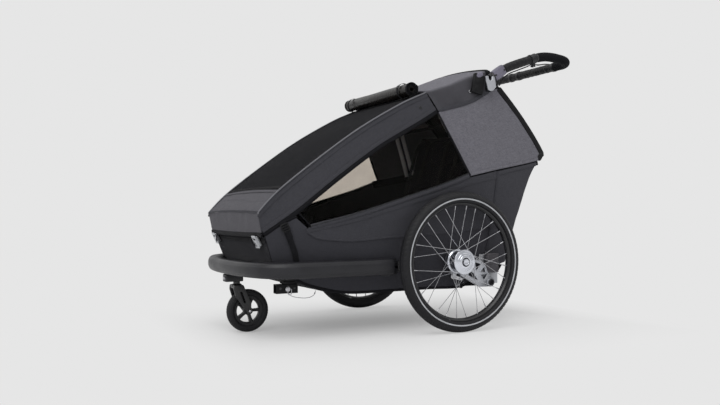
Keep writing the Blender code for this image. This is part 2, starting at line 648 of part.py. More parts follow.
def build_side_fabric(label, side):
    """Build the fabric and the window of one side."""
    top = [(-0.700, 0.356), (-0.650, 0.391), (-0.600, 0.414), (-0.556, 0.372), (-0.380, 0.414),
           (-0.220, 0.461), (-0.050, 0.511), (0.071, 0.552), (0.200, 0.579)]
    bottom = [(-0.668, 0.262), (-0.635, 0.240), (-0.590, 0.209), (-0.530, 0.181), (-0.400, 0.153),
              (-0.220, 0.152), (-0.070, 0.152), (0.070, 0.152), (0.158, 0.190)]
    keys = np.linspace(0, 1, len(top))
    spread = np.linspace(0, 1, 17)
    high = np.column_stack([np.interp(spread, keys, np.array(top)[:, k]) for k in (0, 1)])
    low = np.column_stack([np.interp(spread, keys, np.array(bottom)[:, k]) for k in (0, 1)])
    rows = 5
    grid = np.empty((rows, len(spread), 3))
    for r, t in enumerate(np.linspace(0, 1, rows)):
        place = low + (high - low) * t
        grid[r, :, 0] = side_x(place[:, 0], place[:, 1])
        grid[r, :, 1:] = place
    skin("side_panel_" + label, grid, SKIN, FABRIC, datum, side)

    sill = [(-0.549, 0.382), (-0.380, 0.422), (-0.220, 0.469), (-0.050, 0.519), (0.066, 0.559)]
    under_band = [(-0.590, 0.432), (-0.437, 0.548), (-0.281, 0.655), (-0.117, 0.747), (-0.044, 0.791)]
    skin("side_window_" + label, side_grid(sill, under_band, 13, 4), 0.002, WINDOW, datum, side)

    band_top = HOOD_LINE[1:3] + RAIL_LINE[:4] + [(-0.078, 0.862)]
    band = side_grid(BAND_LOWER_LINE, band_top, 15, 4)
    band[-1, :, 0] = CREST_HALF_WIDTH
    skin("side_band_" + label, band, 0.003, FABRIC, upper, side)

    low_edge = [(0.075, 0.561), (0.205, 0.588), (0.330, 0.612), (0.448, 0.648)]
    top_edge = [(-0.033, 0.792), (0.103, 0.832), (0.192, 0.878), (0.246, 0.902)]
    rear_edge = [(0.448, 0.648), (0.455, 0.671), (0.358, 0.797), (0.246, 0.902)]
    skin("quarter_panel_" + label, side_grid(low_edge, top_edge, 8, 7, rear_edge), 0.003, LIGHT_FABRIC, upper,
         side)


def build_rear_panel():
    """Build the lower rear cover, which wraps round from side to side."""
    wedge = np.linspace(0, 1, 4)
    rows = 7
    rear = follow(REAR_LOWER_LINE, rows)[::-1]
    front_low, front_high = np.array((0.166, 0.204)), np.array((0.206, 0.579))
    grid = []
    for r, t in enumerate(np.linspace(0, 1, rows)):
        front = front_low + (front_high - front_low) * t
        line = [front + (rear[r] - (0.012, 0.0) - front) * w for w in wedge]
        half = [(float(side_x(p[0], p[1])), p[0], p[1]) for p in line]
        corner = half[-1][0] - 0.012
        half.append((corner, rear[r][0], rear[r][1]))
        half.append((corner * 0.5, rear[r][0] + 0.004, rear[r][1]))
        full = half + [(0.0, rear[r][0] + 0.005, rear[r][1])] + [(-x, y, z) for x, y, z in reversed(half)]
        grid.append(full)
    skin("rear_panel", np.array(grid), SKIN, FABRIC, datum)


def build_upper_frame():
    """Build the folding upper frame with the roof, the screen, the hood and the rear flap."""
    inset = 0.020
    rail = [(y, z - inset) for y, z in RAIL_LINE[1:-1]] + [(0.186, 0.941)]
    rail_path = follow([FOLD_PIVOT] + rail, 14)
    side_run = [(RAIL_X, y, z) for y, z in rail_path[:-1]]
    end_y, end_z = rail_path[-1]
    corner = rounded_run([side_run[-1], (RAIL_X, end_y, end_z), (0.0, end_y, end_z)], 0.035)
    left = [local(p, upper) for p in side_run[:-1] + [tuple(p) for p in corner[1:-1]]]
    right = [(-x, y, z) for x, y, z in reversed(left)]
    add_tube("upper_frame", [left + right], RAIL_RADIUS, ALUMINIUM, upper)

    crown = np.array([math.sin(math.pi * min(1.0, t * 1.35) ** 0.8) for t in np.linspace(0, 1, 12)])
    screen_line = RAIL_LINE[:4] + [(-0.080, 0.862)]
    skin("front_screen", cross_grid(screen_line, 10, 7, CREST_HALF_WIDTH - SIDE_GAP, 0.018,
                                    lambda t: np.interp(t, np.linspace(0, 1, 12), np.clip(crown, 0.15, 1))),
         0.0015, MESH_FABRIC, upper)
    skin("nose_hood", cross_grid(HOOD_LINE, 9, 7, CREST_HALF_WIDTH - SIDE_GAP, 0.008), 0.003, FABRIC, upper)

    rows = 9
    roof_top = follow([(-0.073, 0.866)] + RAIL_LINE[5:], rows)
    roof_low = follow(ROOF_LOWER_LINE, rows)
    across = np.linspace(-1, 1, 9)
    grid = []
    for r in range(rows):
        half = []
        for t in (0.0, 0.5):
            y, z = roof_low[r] + (roof_top[r] - roof_low[r]) * t
            half.append((float(side_x(y, z)) + 0.001, y, z))
        top = [(x * CREST_HALF_WIDTH, roof_top[r][0], roof_top[r][1] + ROOF_CROWN * (1 - x * x))
               for x in across[::-1]]
        grid.append(half + top + [(-x, y, z) for x, y, z in reversed(half)])
    skin("roof", np.array(grid)[:, ::-1], 0.003, LIGHT_FABRIC, upper)

    slope = cross_grid(REAR_SLOPE_LINE, 9, 7, CREST_HALF_WIDTH - SIDE_GAP, 0.006)
    skin("rear_flap", slope, 0.003, DARK_FABRIC, upper)
    half_roll = [(0.0, 0.262), (0.020, 0.262), (0.0255, 0.255), (0.0265, 0.200), (0.0255, 0.100)]
    roll = half_roll + [(0.0265, 0.0)] + [(radius, -height) for radius, height in reversed(half_roll)]
    add_turned("rain_cover_roll", roll, 16, CLEAR_FILM, upper, local((0, -0.122, 0.8770), upper))


def local(place, empty):
    """Return a place given from the datum in the coordinates of one of its empties."""
    return tuple(Vector(place) - empty.location)


def build_push_bar():
    """Build the hinges, the push bar with its grips, the latches and the brake lever."""
    pivot_y, pivot_z = BAR_PIVOT
    for label, side in SIDES:
        add_box("bar_hinge_" + label, (0.016, 0.044, 0.060), DARK_PLASTIC, upper,
                local((side * 0.3110, 0.143, 0.908), upper), (math.radians(-12), 0, 0), 0.006, 2)
        latch = add_box("latch_tab_" + label, (0.007, 0.040, 0.056), ALUMINIUM, upper,
                        local((side * 0.3315, 0.182, 0.909), upper), bevel=0.003, segments=2)
        cut(latch, add_cylinder("latch_hole_" + label, 0.0045, 0.020, 12, ALUMINIUM, latch,
                                (0, 0, 0.017), "X"))

    arm = [(pivot_y, pivot_z), (0.231, 0.9540), (0.275, 0.9775), (0.320, 0.9950), (0.383, 1.0170),
           (0.418, 1.0280), (0.460, 1.0362), (0.500, 1.0370), (0.540, 1.0335)]
    side_run = [(BAR_X, y, z) for y, z in follow(arm, 11)]
    rear_y = BAR_REAR_Y - GRIP_RADIUS
    corner = rounded_run([(BAR_X, *arm[-1]), (BAR_X, rear_y, BAR_REAR_Z), (0.0, rear_y, BAR_REAR_Z)],
                         0.054, 6)
    left = side_run[:-1] + [tuple(p) for p in corner[1:-1]]
    right = [(-x, y, z) for x, y, z in reversed(left)]
    path = [local(p, bar) for p in left + right]
    tube = add_tube("push_bar", [path], BAR_RADIUS, BLACK_METAL, bar)
    pieces = [tube]
    for _, side in SIDES:
        pieces.append(add_box("gusset", (0.030, 0.055, 0.040), GREY_RUBBER, bar,
                              local((side * BAR_X, 0.231, 0.954), bar), (math.radians(34), 0, 0), 0.006, 2))
    collar_slope = math.radians(18)
    collar = add_cylinder("collar", 0.0190, 0.030, 16, DARK_PLASTIC, bar,
                          local((BAR_X, 0.3995, 1.0225), bar), "Y", bevel=0.003)
    collar.rotation_euler = (collar_slope, 0, 0)
    lug = add_box("lug", (0.016, 0.016, 0.020), DARK_PLASTIC, bar,
                  local((BAR_X, 0.402, 1.0000), bar))
    pieces += [collar, lug]
    push_bar = fuse("push_bar", pieces)
    slot = add_box("lever_slot", (0.0066, 0.060, 0.018), DARK_PLASTIC, bar,
                   local((BAR_X, 0.4130, 0.9950), bar))
    cut(push_bar, slot)

    lever_axis = make_empty("lever_axis", local((BAR_X, *LEVER_PIVOT), bar), bar)
    blade = ring((0.0, 0.0), 0.0045, 7, math.radians(110), math.radians(290))
    blade += [(0.028, 0.0010), (0.056, 0.0065), (0.075, 0.0080), (0.090, 0.0080), (0.092, 0.0110),
              (0.075, 0.0120), (0.056, 0.0110), (0.028, 0.0060)]
    add_outline("brake_lever", [blade], 0.006, BLACK_METAL, lever_axis, (0, 0, 0),
                (math.radians(90), 0, math.radians(90)))

    route = [(0.3925, 0.9990), (0.375, 0.9915), (0.350, 0.9820), (0.320, 0.9705), (0.290, 0.9590),
             (0.268, 0.9460), (0.250, 0.9280), (0.236, 0.9060)]
    cable = [local((BAR_X, y, z), bar) for y, z in follow(route, 16)]
    add_tube("bar_brake_cable", [cable], 0.0022, RUBBER, bar, resolution=1)

    grip_start = 0.416
    grip_left = [(BAR_X, grip_start, float(np.interp(grip_start, [p[1] for p in left], [p[2] for p in left])))]
    grip_left += [p for p in left if p[1] > grip_start + 0.008]
    grip_right = [(-x, y, z) for x, y, z in reversed(grip_left)]
    grip_path = [local(p, bar) for p in grip_left + grip_right]
    grip = to_mesh_object(add_tube("foam_grip", [grip_path], GRIP_RADIUS, FOAM, bar))
    bore = to_mesh_object(add_tube("grip_bore", [path], BAR_RADIUS + TOUCH_GAP, FOAM, bar))
    cut(grip, bore)


def build_seat():
    """Build the roll hoop of twin posts and the two-seat bench with its backrest."""
    angle = math.atan2(POST_TOP[0] - POST_BASE[0], POST_TOP[1] - POST_BASE[1])
    length = math.dist(POST_BASE, POST_TOP)
    top = Vector((0.0, length * math.sin(angle), length * math.cos(angle)))
    pieces = []
    for _, side in SIDES:
        for shift in (0.0, 0.030):
            run = [(side * POST_X, shift, 0.0), (side * POST_X, top.y + shift, top.z)]
            pieces.append(add_tube("post", [run], 0.0085, ALUMINIUM, posts))
        for height, share in ((0.014, 0.06), (0.018, 0.95)):
            pieces.append(add_box("post_clamp", (0.021, 0.052, height), ALUMINIUM, posts,
                                  (side * POST_X, top.y * share + 0.015, top.z * share), (-angle, 0, 0)))
    pieces.append(add_cylinder("cross_tube", 0.0070, 2 * POST_X, 12, ALUMINIUM, posts,
                               (0, top.y * 0.95 + 0.015, top.z * 0.95), "X"))
    fuse("roll_hoop", pieces)
    pillow("seat_cushion", (0.500, 0.300, 0.040), 0.022, 3, DARK_FABRIC, datum, (0, -0.020, 0.300),
           (math.radians(-6), 0, 0))
    pillow("seat_back", (0.466, 0.420, 0.036), 0.020, 4, DARK_FABRIC, datum, (0, 0.175, 0.560),
           (math.radians(72), 0, 0), columns=13, rows=13)


def build_hitch():
    """Build the drawbar receiver under the left side, with its pin and its lanyard."""
    receiver_x, receiver_y, receiver_z = 0.250, -0.6125, 0.1750
    outer, inner = 0.0155, 0.0120
    square = [(-outer, -outer), (outer, -outer), (outer, outer), (-outer, outer)]
    hole = [(-inner, -inner), (inner, -inner), (inner, inner), (-inner, inner)]
    bracket = add_outline("hitch_bracket", [square, hole], 0.076, DARK_PLASTIC, datum,
                          (receiver_x, receiver_y, receiver_z), (math.radians(90), 0, 0))
    bracket = to_mesh_object(bracket)
    cut(bracket, add_cylinder("pin_bore", 0.0050, 0.060, 12, DARK_PLASTIC, datum,
                              (receiver_x, receiver_y, receiver_z), "X"))
    pin = [(0.0, 0.0225), (0.0090, 0.0225), (0.0090, 0.0175), (0.0045, 0.0175), (0.0045, -0.0205),
           (0.0, -0.0205)]
    add_turned("hitch_pin", pin, 16, STEEL, datum, (receiver_x, receiver_y, receiver_z))
    route = [(0.270, -0.6125, 0.1644), (0.270, -0.6110, 0.160), (0.270, -0.6060, 0.155),
             (0.270, -0.592, 0.148), (0.270, -0.570, 0.1435), (0.270, -0.548, 0.1415),
             (0.270, -0.530, 0.1440), (0.270, -0.519, 0.150), (0.270, -0.5140, 0.158),
             (0.270, -0.5125, 0.1655)]
    add_tube("hitch_lanyard", [follow(route, 22)], 0.0011, STEEL, datum, resolution=1)


clear_scene()
parts = make_collection(COLLECTION_NAME)
cutters = make_collection(CUTTERS_NAME)

FABRIC = make_material("anthracite_fabric", (0.075, 0.078, 0.082), 0.85)
LIGHT_FABRIC = make_material("grey_woven_fabric", (0.20, 0.20, 0.21), 0.85)
DARK_FABRIC = make_material("dark_fabric", (0.035, 0.035, 0.038), 0.85)
MESH_FABRIC = make_material("screen_mesh", (0.045, 0.045, 0.05), 0.80)
WINDOW = make_material("tinted_window", (0.010, 0.010, 0.012), 0.15)
CLEAR_FILM = make_material("rolled_film", (0.16, 0.14, 0.12), 0.25)
RUBBER = make_material("black_rubber", (0.018, 0.018, 0.020), 0.75)
DARK_PLASTIC = make_material("dark_plastic", (0.065, 0.065, 0.070), 0.45)
GREY_RUBBER = make_material("grey_rubber", (0.30, 0.29, 0.30), 0.60)
BLACK_METAL = make_material("black_metal", (0.020, 0.020, 0.022), 0.35, 1.0)
ALUMINIUM = make_material("aluminium", (0.62, 0.63, 0.66), 0.30, 1.0)
STEEL = make_material("steel", (0.58, 0.58, 0.60), 0.25, 1.0)
FOAM = make_material("grip_foam", (0.022, 0.022, 0.024), 0.80)

datum = make_empty("datum", (0.0, AXLE_Y, 0.0))
upper = make_empty("fold_axis", (0.0, *FOLD_PIVOT), datum)
posts = make_empty("post_axis", (0.0, *POST_BASE), datum)
bar = make_empty("bar_axis", (0.0, *BAR_PIVOT), datum)

build_chassis()
for side_label, side_sign in SIDES:
    arm_empty = build_wheel(side_label, side_sign)
    build_suspension(side_label, side_sign, arm_empty)
    build_side_fabric(side_label, side_sign)
build_rear_panel()
build_upper_frame()
build_push_bar()
build_seat()
build_caster()
build_hitch()
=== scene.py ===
"""Looks of a two-seat child bicycle trailer with a stroller front wheel and a push bar.

Metres, +Z up. The trailer faces -Y and its left side is at +X. Every shape is worked out
with Y counted from the rear axle, and becomes a piece AXLE_Y further back.
"""
import logging
import math
from collections.abc import Sequence
from dataclasses import dataclass, field
from enum import Enum
from functools import cache

import bmesh
import bpy
import numpy as np
from mathutils import Matrix, Vector
from numpy.typing import NDArray


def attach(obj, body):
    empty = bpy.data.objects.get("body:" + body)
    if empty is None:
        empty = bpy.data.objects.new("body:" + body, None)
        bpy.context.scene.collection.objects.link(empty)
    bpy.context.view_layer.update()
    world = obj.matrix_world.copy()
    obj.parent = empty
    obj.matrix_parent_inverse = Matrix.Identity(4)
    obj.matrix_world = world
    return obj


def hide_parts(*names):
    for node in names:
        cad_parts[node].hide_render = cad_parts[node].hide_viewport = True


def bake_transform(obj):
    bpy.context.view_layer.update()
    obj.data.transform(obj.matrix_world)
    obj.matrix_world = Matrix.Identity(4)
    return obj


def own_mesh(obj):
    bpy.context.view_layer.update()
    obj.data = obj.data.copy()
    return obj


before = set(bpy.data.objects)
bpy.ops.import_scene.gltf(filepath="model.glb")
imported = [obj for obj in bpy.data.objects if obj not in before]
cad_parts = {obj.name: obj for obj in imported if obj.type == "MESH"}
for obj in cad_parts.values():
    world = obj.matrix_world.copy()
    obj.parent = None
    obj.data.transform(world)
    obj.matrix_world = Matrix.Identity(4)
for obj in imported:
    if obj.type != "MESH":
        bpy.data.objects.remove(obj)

Array = NDArray[np.float64]
Point = tuple[float, float, float]
Colour = tuple[float, float, float, float]
Keys = Sequence[Sequence[float]]
# A line on a surface: its points and the surface's normals there.
Line = tuple[Array, Array]

LOG = logging.getLogger("trailer")
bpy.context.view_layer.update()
AXLE_Y = 0.077
WHEEL_CENTRE = (0.392, 0.0, 0.250)
SIDES = (("left", 1.0), ("right", -1.0))
QUARTER_TURN = math.pi / 2
FULL_TURN = 2 * math.pi
UPRIGHT = (0.05, 0.3, 1.0)
# Edges sharper than these many degrees stay sharp.
SOFT_CREASE = 38.0
MOULDED_CREASE = 32.0
HARD_CREASE = 30.0
PAD_CREASE = 60.0


def smooth_line(keys: Keys, count: int) -> Array:
    """Return count points spread evenly along the Catmull-Rom curve through keys of any dimension."""
    steps_between = 24
    known = np.asarray(keys, dtype=float)
    padded = np.vstack([2 * known[0] - known[1], known, 2 * known[-1] - known[-2]])
    t = np.linspace(0.0, 1.0, steps_between, endpoint=False)[None, :, None]
    p0, p1, p2, p3 = (padded[i:len(padded) - 3 + i, None, :] for i in range(4))
    dense = 0.5 * (2 * p1 + (p2 - p0) * t + (2 * p0 - 5 * p1 + 4 * p2 - p3) * t ** 2
                   + (3 * p1 - p0 - 3 * p2 + p3) * t ** 3)
    return respaced(np.vstack([dense.reshape(-1, known.shape[1]), known[-1:]]), count)


def respaced(points: Keys, count: int) -> Array:
    """Return count points at equal steps along a polyline."""
    known = np.asarray(points, dtype=float)
    steps = np.r_[0.0, np.cumsum(np.linalg.norm(np.diff(known, axis=0), axis=1))]
    even = np.linspace(0.0, steps[-1], count)
    return np.column_stack([np.interp(even, steps, column) for column in known.T])


def length_of(points: Array) -> float:
    """Return the length of a polyline."""
    return float(np.linalg.norm(np.diff(points, axis=0), axis=1).sum())


def unit(vectors: Array) -> Array:
    """Return vectors of length one."""
    size = np.linalg.norm(vectors, axis=-1, keepdims=True)
    return vectors / np.where(size < 1e-12, 1.0, size)


def smooth_step(value: Array, low: float, high: float) -> Array:
    """Rise smoothly from 0 at low to 1 at high."""
    t = np.clip((value - low) / (high - low), 0.0, 1.0)
    return t * t * (3.0 - 2.0 * t)


def hump(value: Array, middle: float, half: float) -> Array:
    """Return a smooth hill: 1 at the middle, 0 from half away on."""
    return 1.0 - smooth_step(np.abs(value - middle), 0.0, half)


def shares(columns: int, rows: int, low: float = 0.0) -> tuple[Array, Array]:
    """Return two grids: the share along the columns, from low to 1, and along the rows, from 0 to 1."""
    return np.meshgrid(np.linspace(low, 1, columns), np.linspace(0, 1, rows))


def ripples(u: Array, v: Array, size: float, seed: int, waves: int = 7) -> Array:
    """Return gentle unevenness between about -1 and 1: a sum of seeded sine waves.

    Args:
        u: place along one direction, in metres.
        v: place along the other direction, in metres.
        size: length of the longest wave, in metres.
        seed: seed of the waves' directions and phases.
        waves: how many waves are summed.

    Returns:
        The height at each place.
    """
    draw = np.random.default_rng(seed)
    total = np.zeros(np.broadcast(u, v).shape)
    for step in range(waves):
        turn, phase = draw.uniform(0, FULL_TURN, 2)
        pace = FULL_TURN / (size * 0.78 ** step)
        total += np.sin((u * math.cos(turn) + v * math.sin(turn)) * pace + phase) * 0.8 ** step
    return total / 2.2


@dataclass
class Shape:
    """Points with faces. Every face corner has its own UV, in metres along the surface."""

    points: Array
    faces: list[Array] = field(default_factory=list)
    uvs: list[Array] = field(default_factory=list)

    def joined(self, *others: "Shape") -> "Shape":
        """Return this shape and others as one."""
        parts = [self, *others]
        starts = np.cumsum([0] + [len(part.points) for part in parts])
        return Shape(np.vstack([part.points for part in parts]),
                     [face + start for part, start in zip(parts, starts) for face in part.faces],
                     [uv for part in parts for uv in part.uvs])

    def moved(self, x: float = 0.0, y: float = 0.0, z: float = 0.0) -> "Shape":
        """Return this shape shifted."""
        return Shape(self.points + (x, y, z), self.faces, self.uvs)

    def turned(self, degrees: float, axis: str) -> "Shape":
        """Return this shape turned about X, Y or Z."""
        turn = np.array(Matrix.Rotation(math.radians(degrees), 3, axis))
        return Shape(self.points @ turn.T, self.faces, self.uvs)

    def flipped(self) -> "Shape":
        """Return this shape with each face turned over."""
        return Shape(self.points, [face[:, ::-1] for face in self.faces], [uv[:, ::-1] for uv in self.uvs])

    def on(self, side: float) -> "Shape":
        """Return this shape for the left side, or its mirror image for side -1."""
        return self if side > 0 else Shape(self.points * (-1.0, 1.0, 1.0), self.faces, self.uvs).flipped()


def joined(shapes: Sequence[Shape]) -> Shape:
    """Return several shapes as one."""
    return shapes[0].joined(*shapes[1:])


def grid_shape(grid: Array, wrap_rows: bool = False, wrap_columns: bool = False) -> Shape:
    """Return the quads between the points of a grid, with UV from the lengths along it."""
    rows, columns = grid.shape[:2]
    closed = np.concatenate([grid, grid[:1]]) if wrap_rows else grid
    closed = np.concatenate([closed, closed[:, :1]], axis=1) if wrap_columns else closed
    along = np.linalg.norm(np.diff(closed, axis=1), axis=2).max(axis=0)
    up = np.linalg.norm(np.diff(closed, axis=0), axis=2).max(axis=1)
    u, v = np.r_[0.0, np.cumsum(along)], np.r_[0.0, np.cumsum(up)]
    row, column = (part.ravel() for part in np.mgrid[0:len(up), 0:len(along)])
    index = np.arange(rows * columns).reshape(rows, columns)
    corners = ((row, column), (row, column + 1), (row + 1, column + 1), (row + 1, column))
    faces = np.stack([index[r % rows, c % columns] for r, c in corners], axis=1)
    uvs = np.stack([np.column_stack([u[c], v[r]]) for r, c in corners], axis=1)
    return Shape(grid.reshape(-1, 3).copy(), [faces], [uvs])


def normals_of(grid: Array) -> Array:
    """Return the unit normals of an open grid: along its columns cross along its rows."""
    return unit(np.cross(np.gradient(grid, axis=1), np.gradient(grid, axis=0)))


def rim_of(rows: int, columns: int) -> tuple[Array, Array]:
    """Return the indexes of a grid's outer points in order round it, and of the ones that follow."""
    index = np.arange(rows * columns).reshape(rows, columns)
    rim = np.concatenate([index[0, :-1], index[:-1, -1], index[-1, :0:-1], index[:0:-1, 0]])
    return rim, np.roll(rim, -1)


def cloth(grid: Array, thickness: float, relief: Array | float = 0.0) -> Shape:
    """Return a closed sheet whose outer face is a grid raised by relief along its normals."""
    normal = normals_of(grid)
    front = grid_shape(grid + normal * np.broadcast_to(relief, grid.shape[:2])[..., None])
    sheet = front.joined(grid_shape(grid - normal * thickness).flipped())
    rows, columns = grid.shape[:2]
    rim, ahead = rim_of(rows, columns)
    count, step = rows * columns, 0.004
    u = np.arange(len(rim)) * step
    sheet.faces.append(np.stack([ahead, rim, rim + count, ahead + count], axis=1))
    sheet.uvs.append(np.stack([np.column_stack([u + a, np.full_like(u, b)]) for a, b in
                               ((step, 0.0), (0.0, 0.0), (0.0, step), (step, step))], axis=1))
    return sheet


def oval(width: float, height: float, count: int = 16, power: float = 2.0) -> Array:
    """Return a superellipse section: an ellipse at power 2, boxier above."""
    angle = np.linspace(0, FULL_TURN, count, endpoint=False) + FULL_TURN / count / 2
    c, s = np.cos(angle), np.sin(angle)
    return np.column_stack([np.sign(c) * np.abs(c) ** (2 / power) * width / 2,
                            np.sign(s) * np.abs(s) ** (2 / power) * height / 2])


def box_section(width: float, height: float, radius: float, arc: int = 4) -> Array:
    """Return a rectangle with a quarter circle at each corner."""
    radius = min(radius, width / 2 - 1e-5, height / 2 - 1e-5)
    turn = (np.linspace(0, QUARTER_TURN, arc)[None, :] + np.arange(4)[:, None] * QUARTER_TURN).ravel()
    middle = np.repeat([(1, 1), (-1, 1), (-1, -1), (1, -1)], arc, axis=0)
    return (middle * (width / 2 - radius, height / 2 - radius)
            + np.column_stack([np.cos(turn), np.sin(turn)]) * radius)


def capped(grid: Array, outline: Array) -> Shape:
    """Return a grid of rings with both ends closed; outline gives the UVs of the end faces."""
    shape, count = grid_shape(grid, wrap_columns=True), len(outline)
    for ring in (np.arange(count)[::-1], np.arange(count) + (len(grid) - 1) * count):
        shape.faces.append(ring[None, :])
        shape.uvs.append(outline[ring % count][None])
    return shape


def sweep(path: Keys, section: Array, up: Keys | Point = (0.0, 0.0, 1.0), closed: bool = False,
          scale: Keys | None = None, rounding: float = 0.0) -> Shape:
    """Carry a section along a path, with its second axis kept towards up.

    Args:
        path: points of the path.
        section: closed outline, as places to the side and upwards.
        up: one direction, or one for each point.
        closed: whether the path returns to its start.
        scale: size of the section at each point.
        rounding: length of the rounded ends, 0 for flat ones.

    Returns:
        The closed shape.
    """
    line = np.asarray(path, dtype=float)
    tangent = unit(np.roll(line, -1, 0) - np.roll(line, 1, 0) if closed else np.gradient(line, axis=0))
    size = np.ones(len(line)) if scale is None else np.asarray(scale, dtype=float)
    upward = np.array(np.broadcast_to(np.asarray(up, dtype=float), line.shape))
    if rounding:
        rings, first_angle = 6, 0.14
        arc = np.linspace(first_angle, QUARTER_TURN, rings)
        reach, shrink = rounding * (1 - np.cos(arc))[:, None], np.sin(arc)
        inner = slice(1, -1)
        line = np.vstack([line[0] + tangent[0] * reach, line[inner], line[-1] - tangent[-1] * reach[::-1]])
        size = np.r_[size[0] * shrink, size[inner], size[-1] * shrink[::-1]]
        tangent, upward = (np.vstack([np.repeat(part[:1], rings, 0), part[inner],
                                      np.repeat(part[-1:], rings, 0)]) for part in (tangent, upward))
    side = unit(np.cross(tangent, upward))
    rise = np.cross(side, tangent)
    outline = section[::-1]
    grid = (line[:, None] + side[:, None] * (outline[None, :, :1] * size[:, None, None])
            + rise[:, None] * (outline[None, :, 1:] * size[:, None, None]))
    return grid_shape(grid, True, True) if closed else capped(grid, outline)


def tube(path: Keys, radius: float, count: int = 12, rounding: float = 0.0) -> Shape:
    """Return a round bar along a path, turned so that it never lies along its up direction."""
    line = np.asarray(path, dtype=float)
    run = np.abs(line[-1] - line[0])
    up = (1.0, 0.0, 0.0) if run[0] < 0.5 * run.max() else UPRIGHT
    return sweep(line, oval(2 * radius, 2 * radius, count), up, rounding=rounding)


def lathe(profile: Keys, steps: int = 48, closed: bool = False) -> Shape:
    """Turn a profile of (radius, x) about the X axis; an end at radius 0 closes to a pole."""
    line = np.asarray(profile, dtype=float)
    angle = np.linspace(0, FULL_TURN, steps, endpoint=False)
    grid = np.stack([np.broadcast_to(line[:, 1:2], (len(line), steps)),
                     line[:, :1] * np.cos(angle), line[:, :1] * np.sin(angle)], axis=-1)
    return grid_shape(grid, wrap_rows=closed, wrap_columns=True)


def eased(profile: Keys, radius: float) -> Array:
    """Return a closed 2D outline with each corner a short parabola no longer than radius."""
    known = np.asarray(profile, dtype=float)
    before, after = np.roll(known, 1, 0) - known, np.roll(known, -1, 0) - known
    room = np.minimum(np.linalg.norm(before, axis=1), np.linalg.norm(after, axis=1))
    reach = np.minimum(radius, 0.45 * room)[:, None]
    a, b = known + unit(before) * reach, known + unit(after) * reach
    t = np.linspace(0.0, 1.0, 4)[None, :, None]
    rounded = a[:, None] * (1 - t) ** 2 + 2 * known[:, None] * t * (1 - t) + b[:, None] * t ** 2
    return rounded.reshape(-1, 2)


def block(size: Point, radius: float, arc: int = 4) -> Shape:
    """Return a box with rounded edges: a rounded rectangle that draws in round at both ends."""
    width, depth, height = size
    radius = min(radius, min(size) / 2 - 1e-5)
    turn = np.linspace(0.0, QUARTER_TURN, arc)
    inset, lift = radius * (1 - np.cos(turn)), height / 2 - radius + radius * np.sin(turn)
    half = [np.column_stack([box_section(width - 2 * i, depth - 2 * i, max(radius - i, 2e-5), arc),
                             np.full(4 * arc, z)]) for i, z in zip(inset, lift)]
    grid = np.array([ring * (1, 1, -1) for ring in half[::-1]] + half)
    return capped(grid, grid[0, :, :2])


def wound(loop: Keys, positive: bool) -> Array:
    """Return a closed 2D outline that runs anticlockwise, or clockwise if not positive."""
    line = np.asarray(loop, dtype=float)
    ahead = np.roll(line, -1, 0)
    area = float((line[:, 0] * ahead[:, 1] - line[:, 1] * ahead[:, 0]).sum())
    return line if (area > 0) == positive else line[::-1]


def new_object(name: str, data: bpy.types.ID) -> bpy.types.Object:
    """Return a new object in the scene."""
    item = bpy.data.objects.new(name, data)
    bpy.context.scene.collection.objects.link(item)
    return item


def evaluated(item: bpy.types.Object) -> bpy.types.Mesh:
    """Return a new mesh of what an object's curve or modifiers make now."""
    return bpy.data.meshes.new_from_object(item.evaluated_get(bpy.context.evaluated_depsgraph_get()))


def points_of(mesh: bpy.types.Mesh) -> Array:
    """Return a mesh's points."""
    points = np.empty(len(mesh.vertices) * 3)
    mesh.vertices.foreach_get("co", points)
    return points.reshape(-1, 3)


def plate(outline: Keys, holes: Sequence[Keys], thickness: float, bevel: float) -> Shape:
    """Return a flat plate across X from an outline in Y and Z.

    Args:
        outline: closed outline.
        holes: closed outlines of the openings.
        thickness: thickness along X, half of it each side of X 0.
        bevel: radius of the rounded edges.

    Returns:
        The closed shape.
    """
    curve = bpy.data.curves.new("plate", "CURVE")
    curve.dimensions, curve.fill_mode = "2D", "BOTH"
    curve.extrude, curve.bevel_depth, curve.offset = thickness / 2 - bevel, bevel, -bevel
    curve.bevel_resolution = 2
    for loop in [wound(outline, True)] + [wound(hole, False) for hole in holes]:
        spline, count = curve.splines.new("POLY"), len(loop)
        spline.points.add(count - 1)
        spline.points.foreach_set("co", np.column_stack([loop, np.zeros(count), np.ones(count)]).ravel())
        spline.use_cyclic_u = True
    item = new_object("plate", curve)
    mesh = evaluated(item)
    points = points_of(mesh)
    faces = [np.array([list(face.vertices)]) for face in mesh.polygons]
    bpy.data.objects.remove(item)
    bpy.data.curves.remove(curve)
    bpy.data.meshes.remove(mesh)
    return Shape(points[:, [2, 0, 1]], faces, [points[face[0], :2][None] for face in faces])


def arc_of(centre: Sequence[float], radius: float, count: int = 24, start: float = 0.0,
           end: float = 360.0) -> Array:
    """Return points on a circle, or on an arc with both its ends, from angles in degrees."""
    whole = abs(end - start) > 359.9
    angle = np.radians(np.linspace(start, end, count, endpoint=not whole))
    return np.column_stack([centre[0] + radius * np.cos(angle), centre[1] + radius * np.sin(angle)])


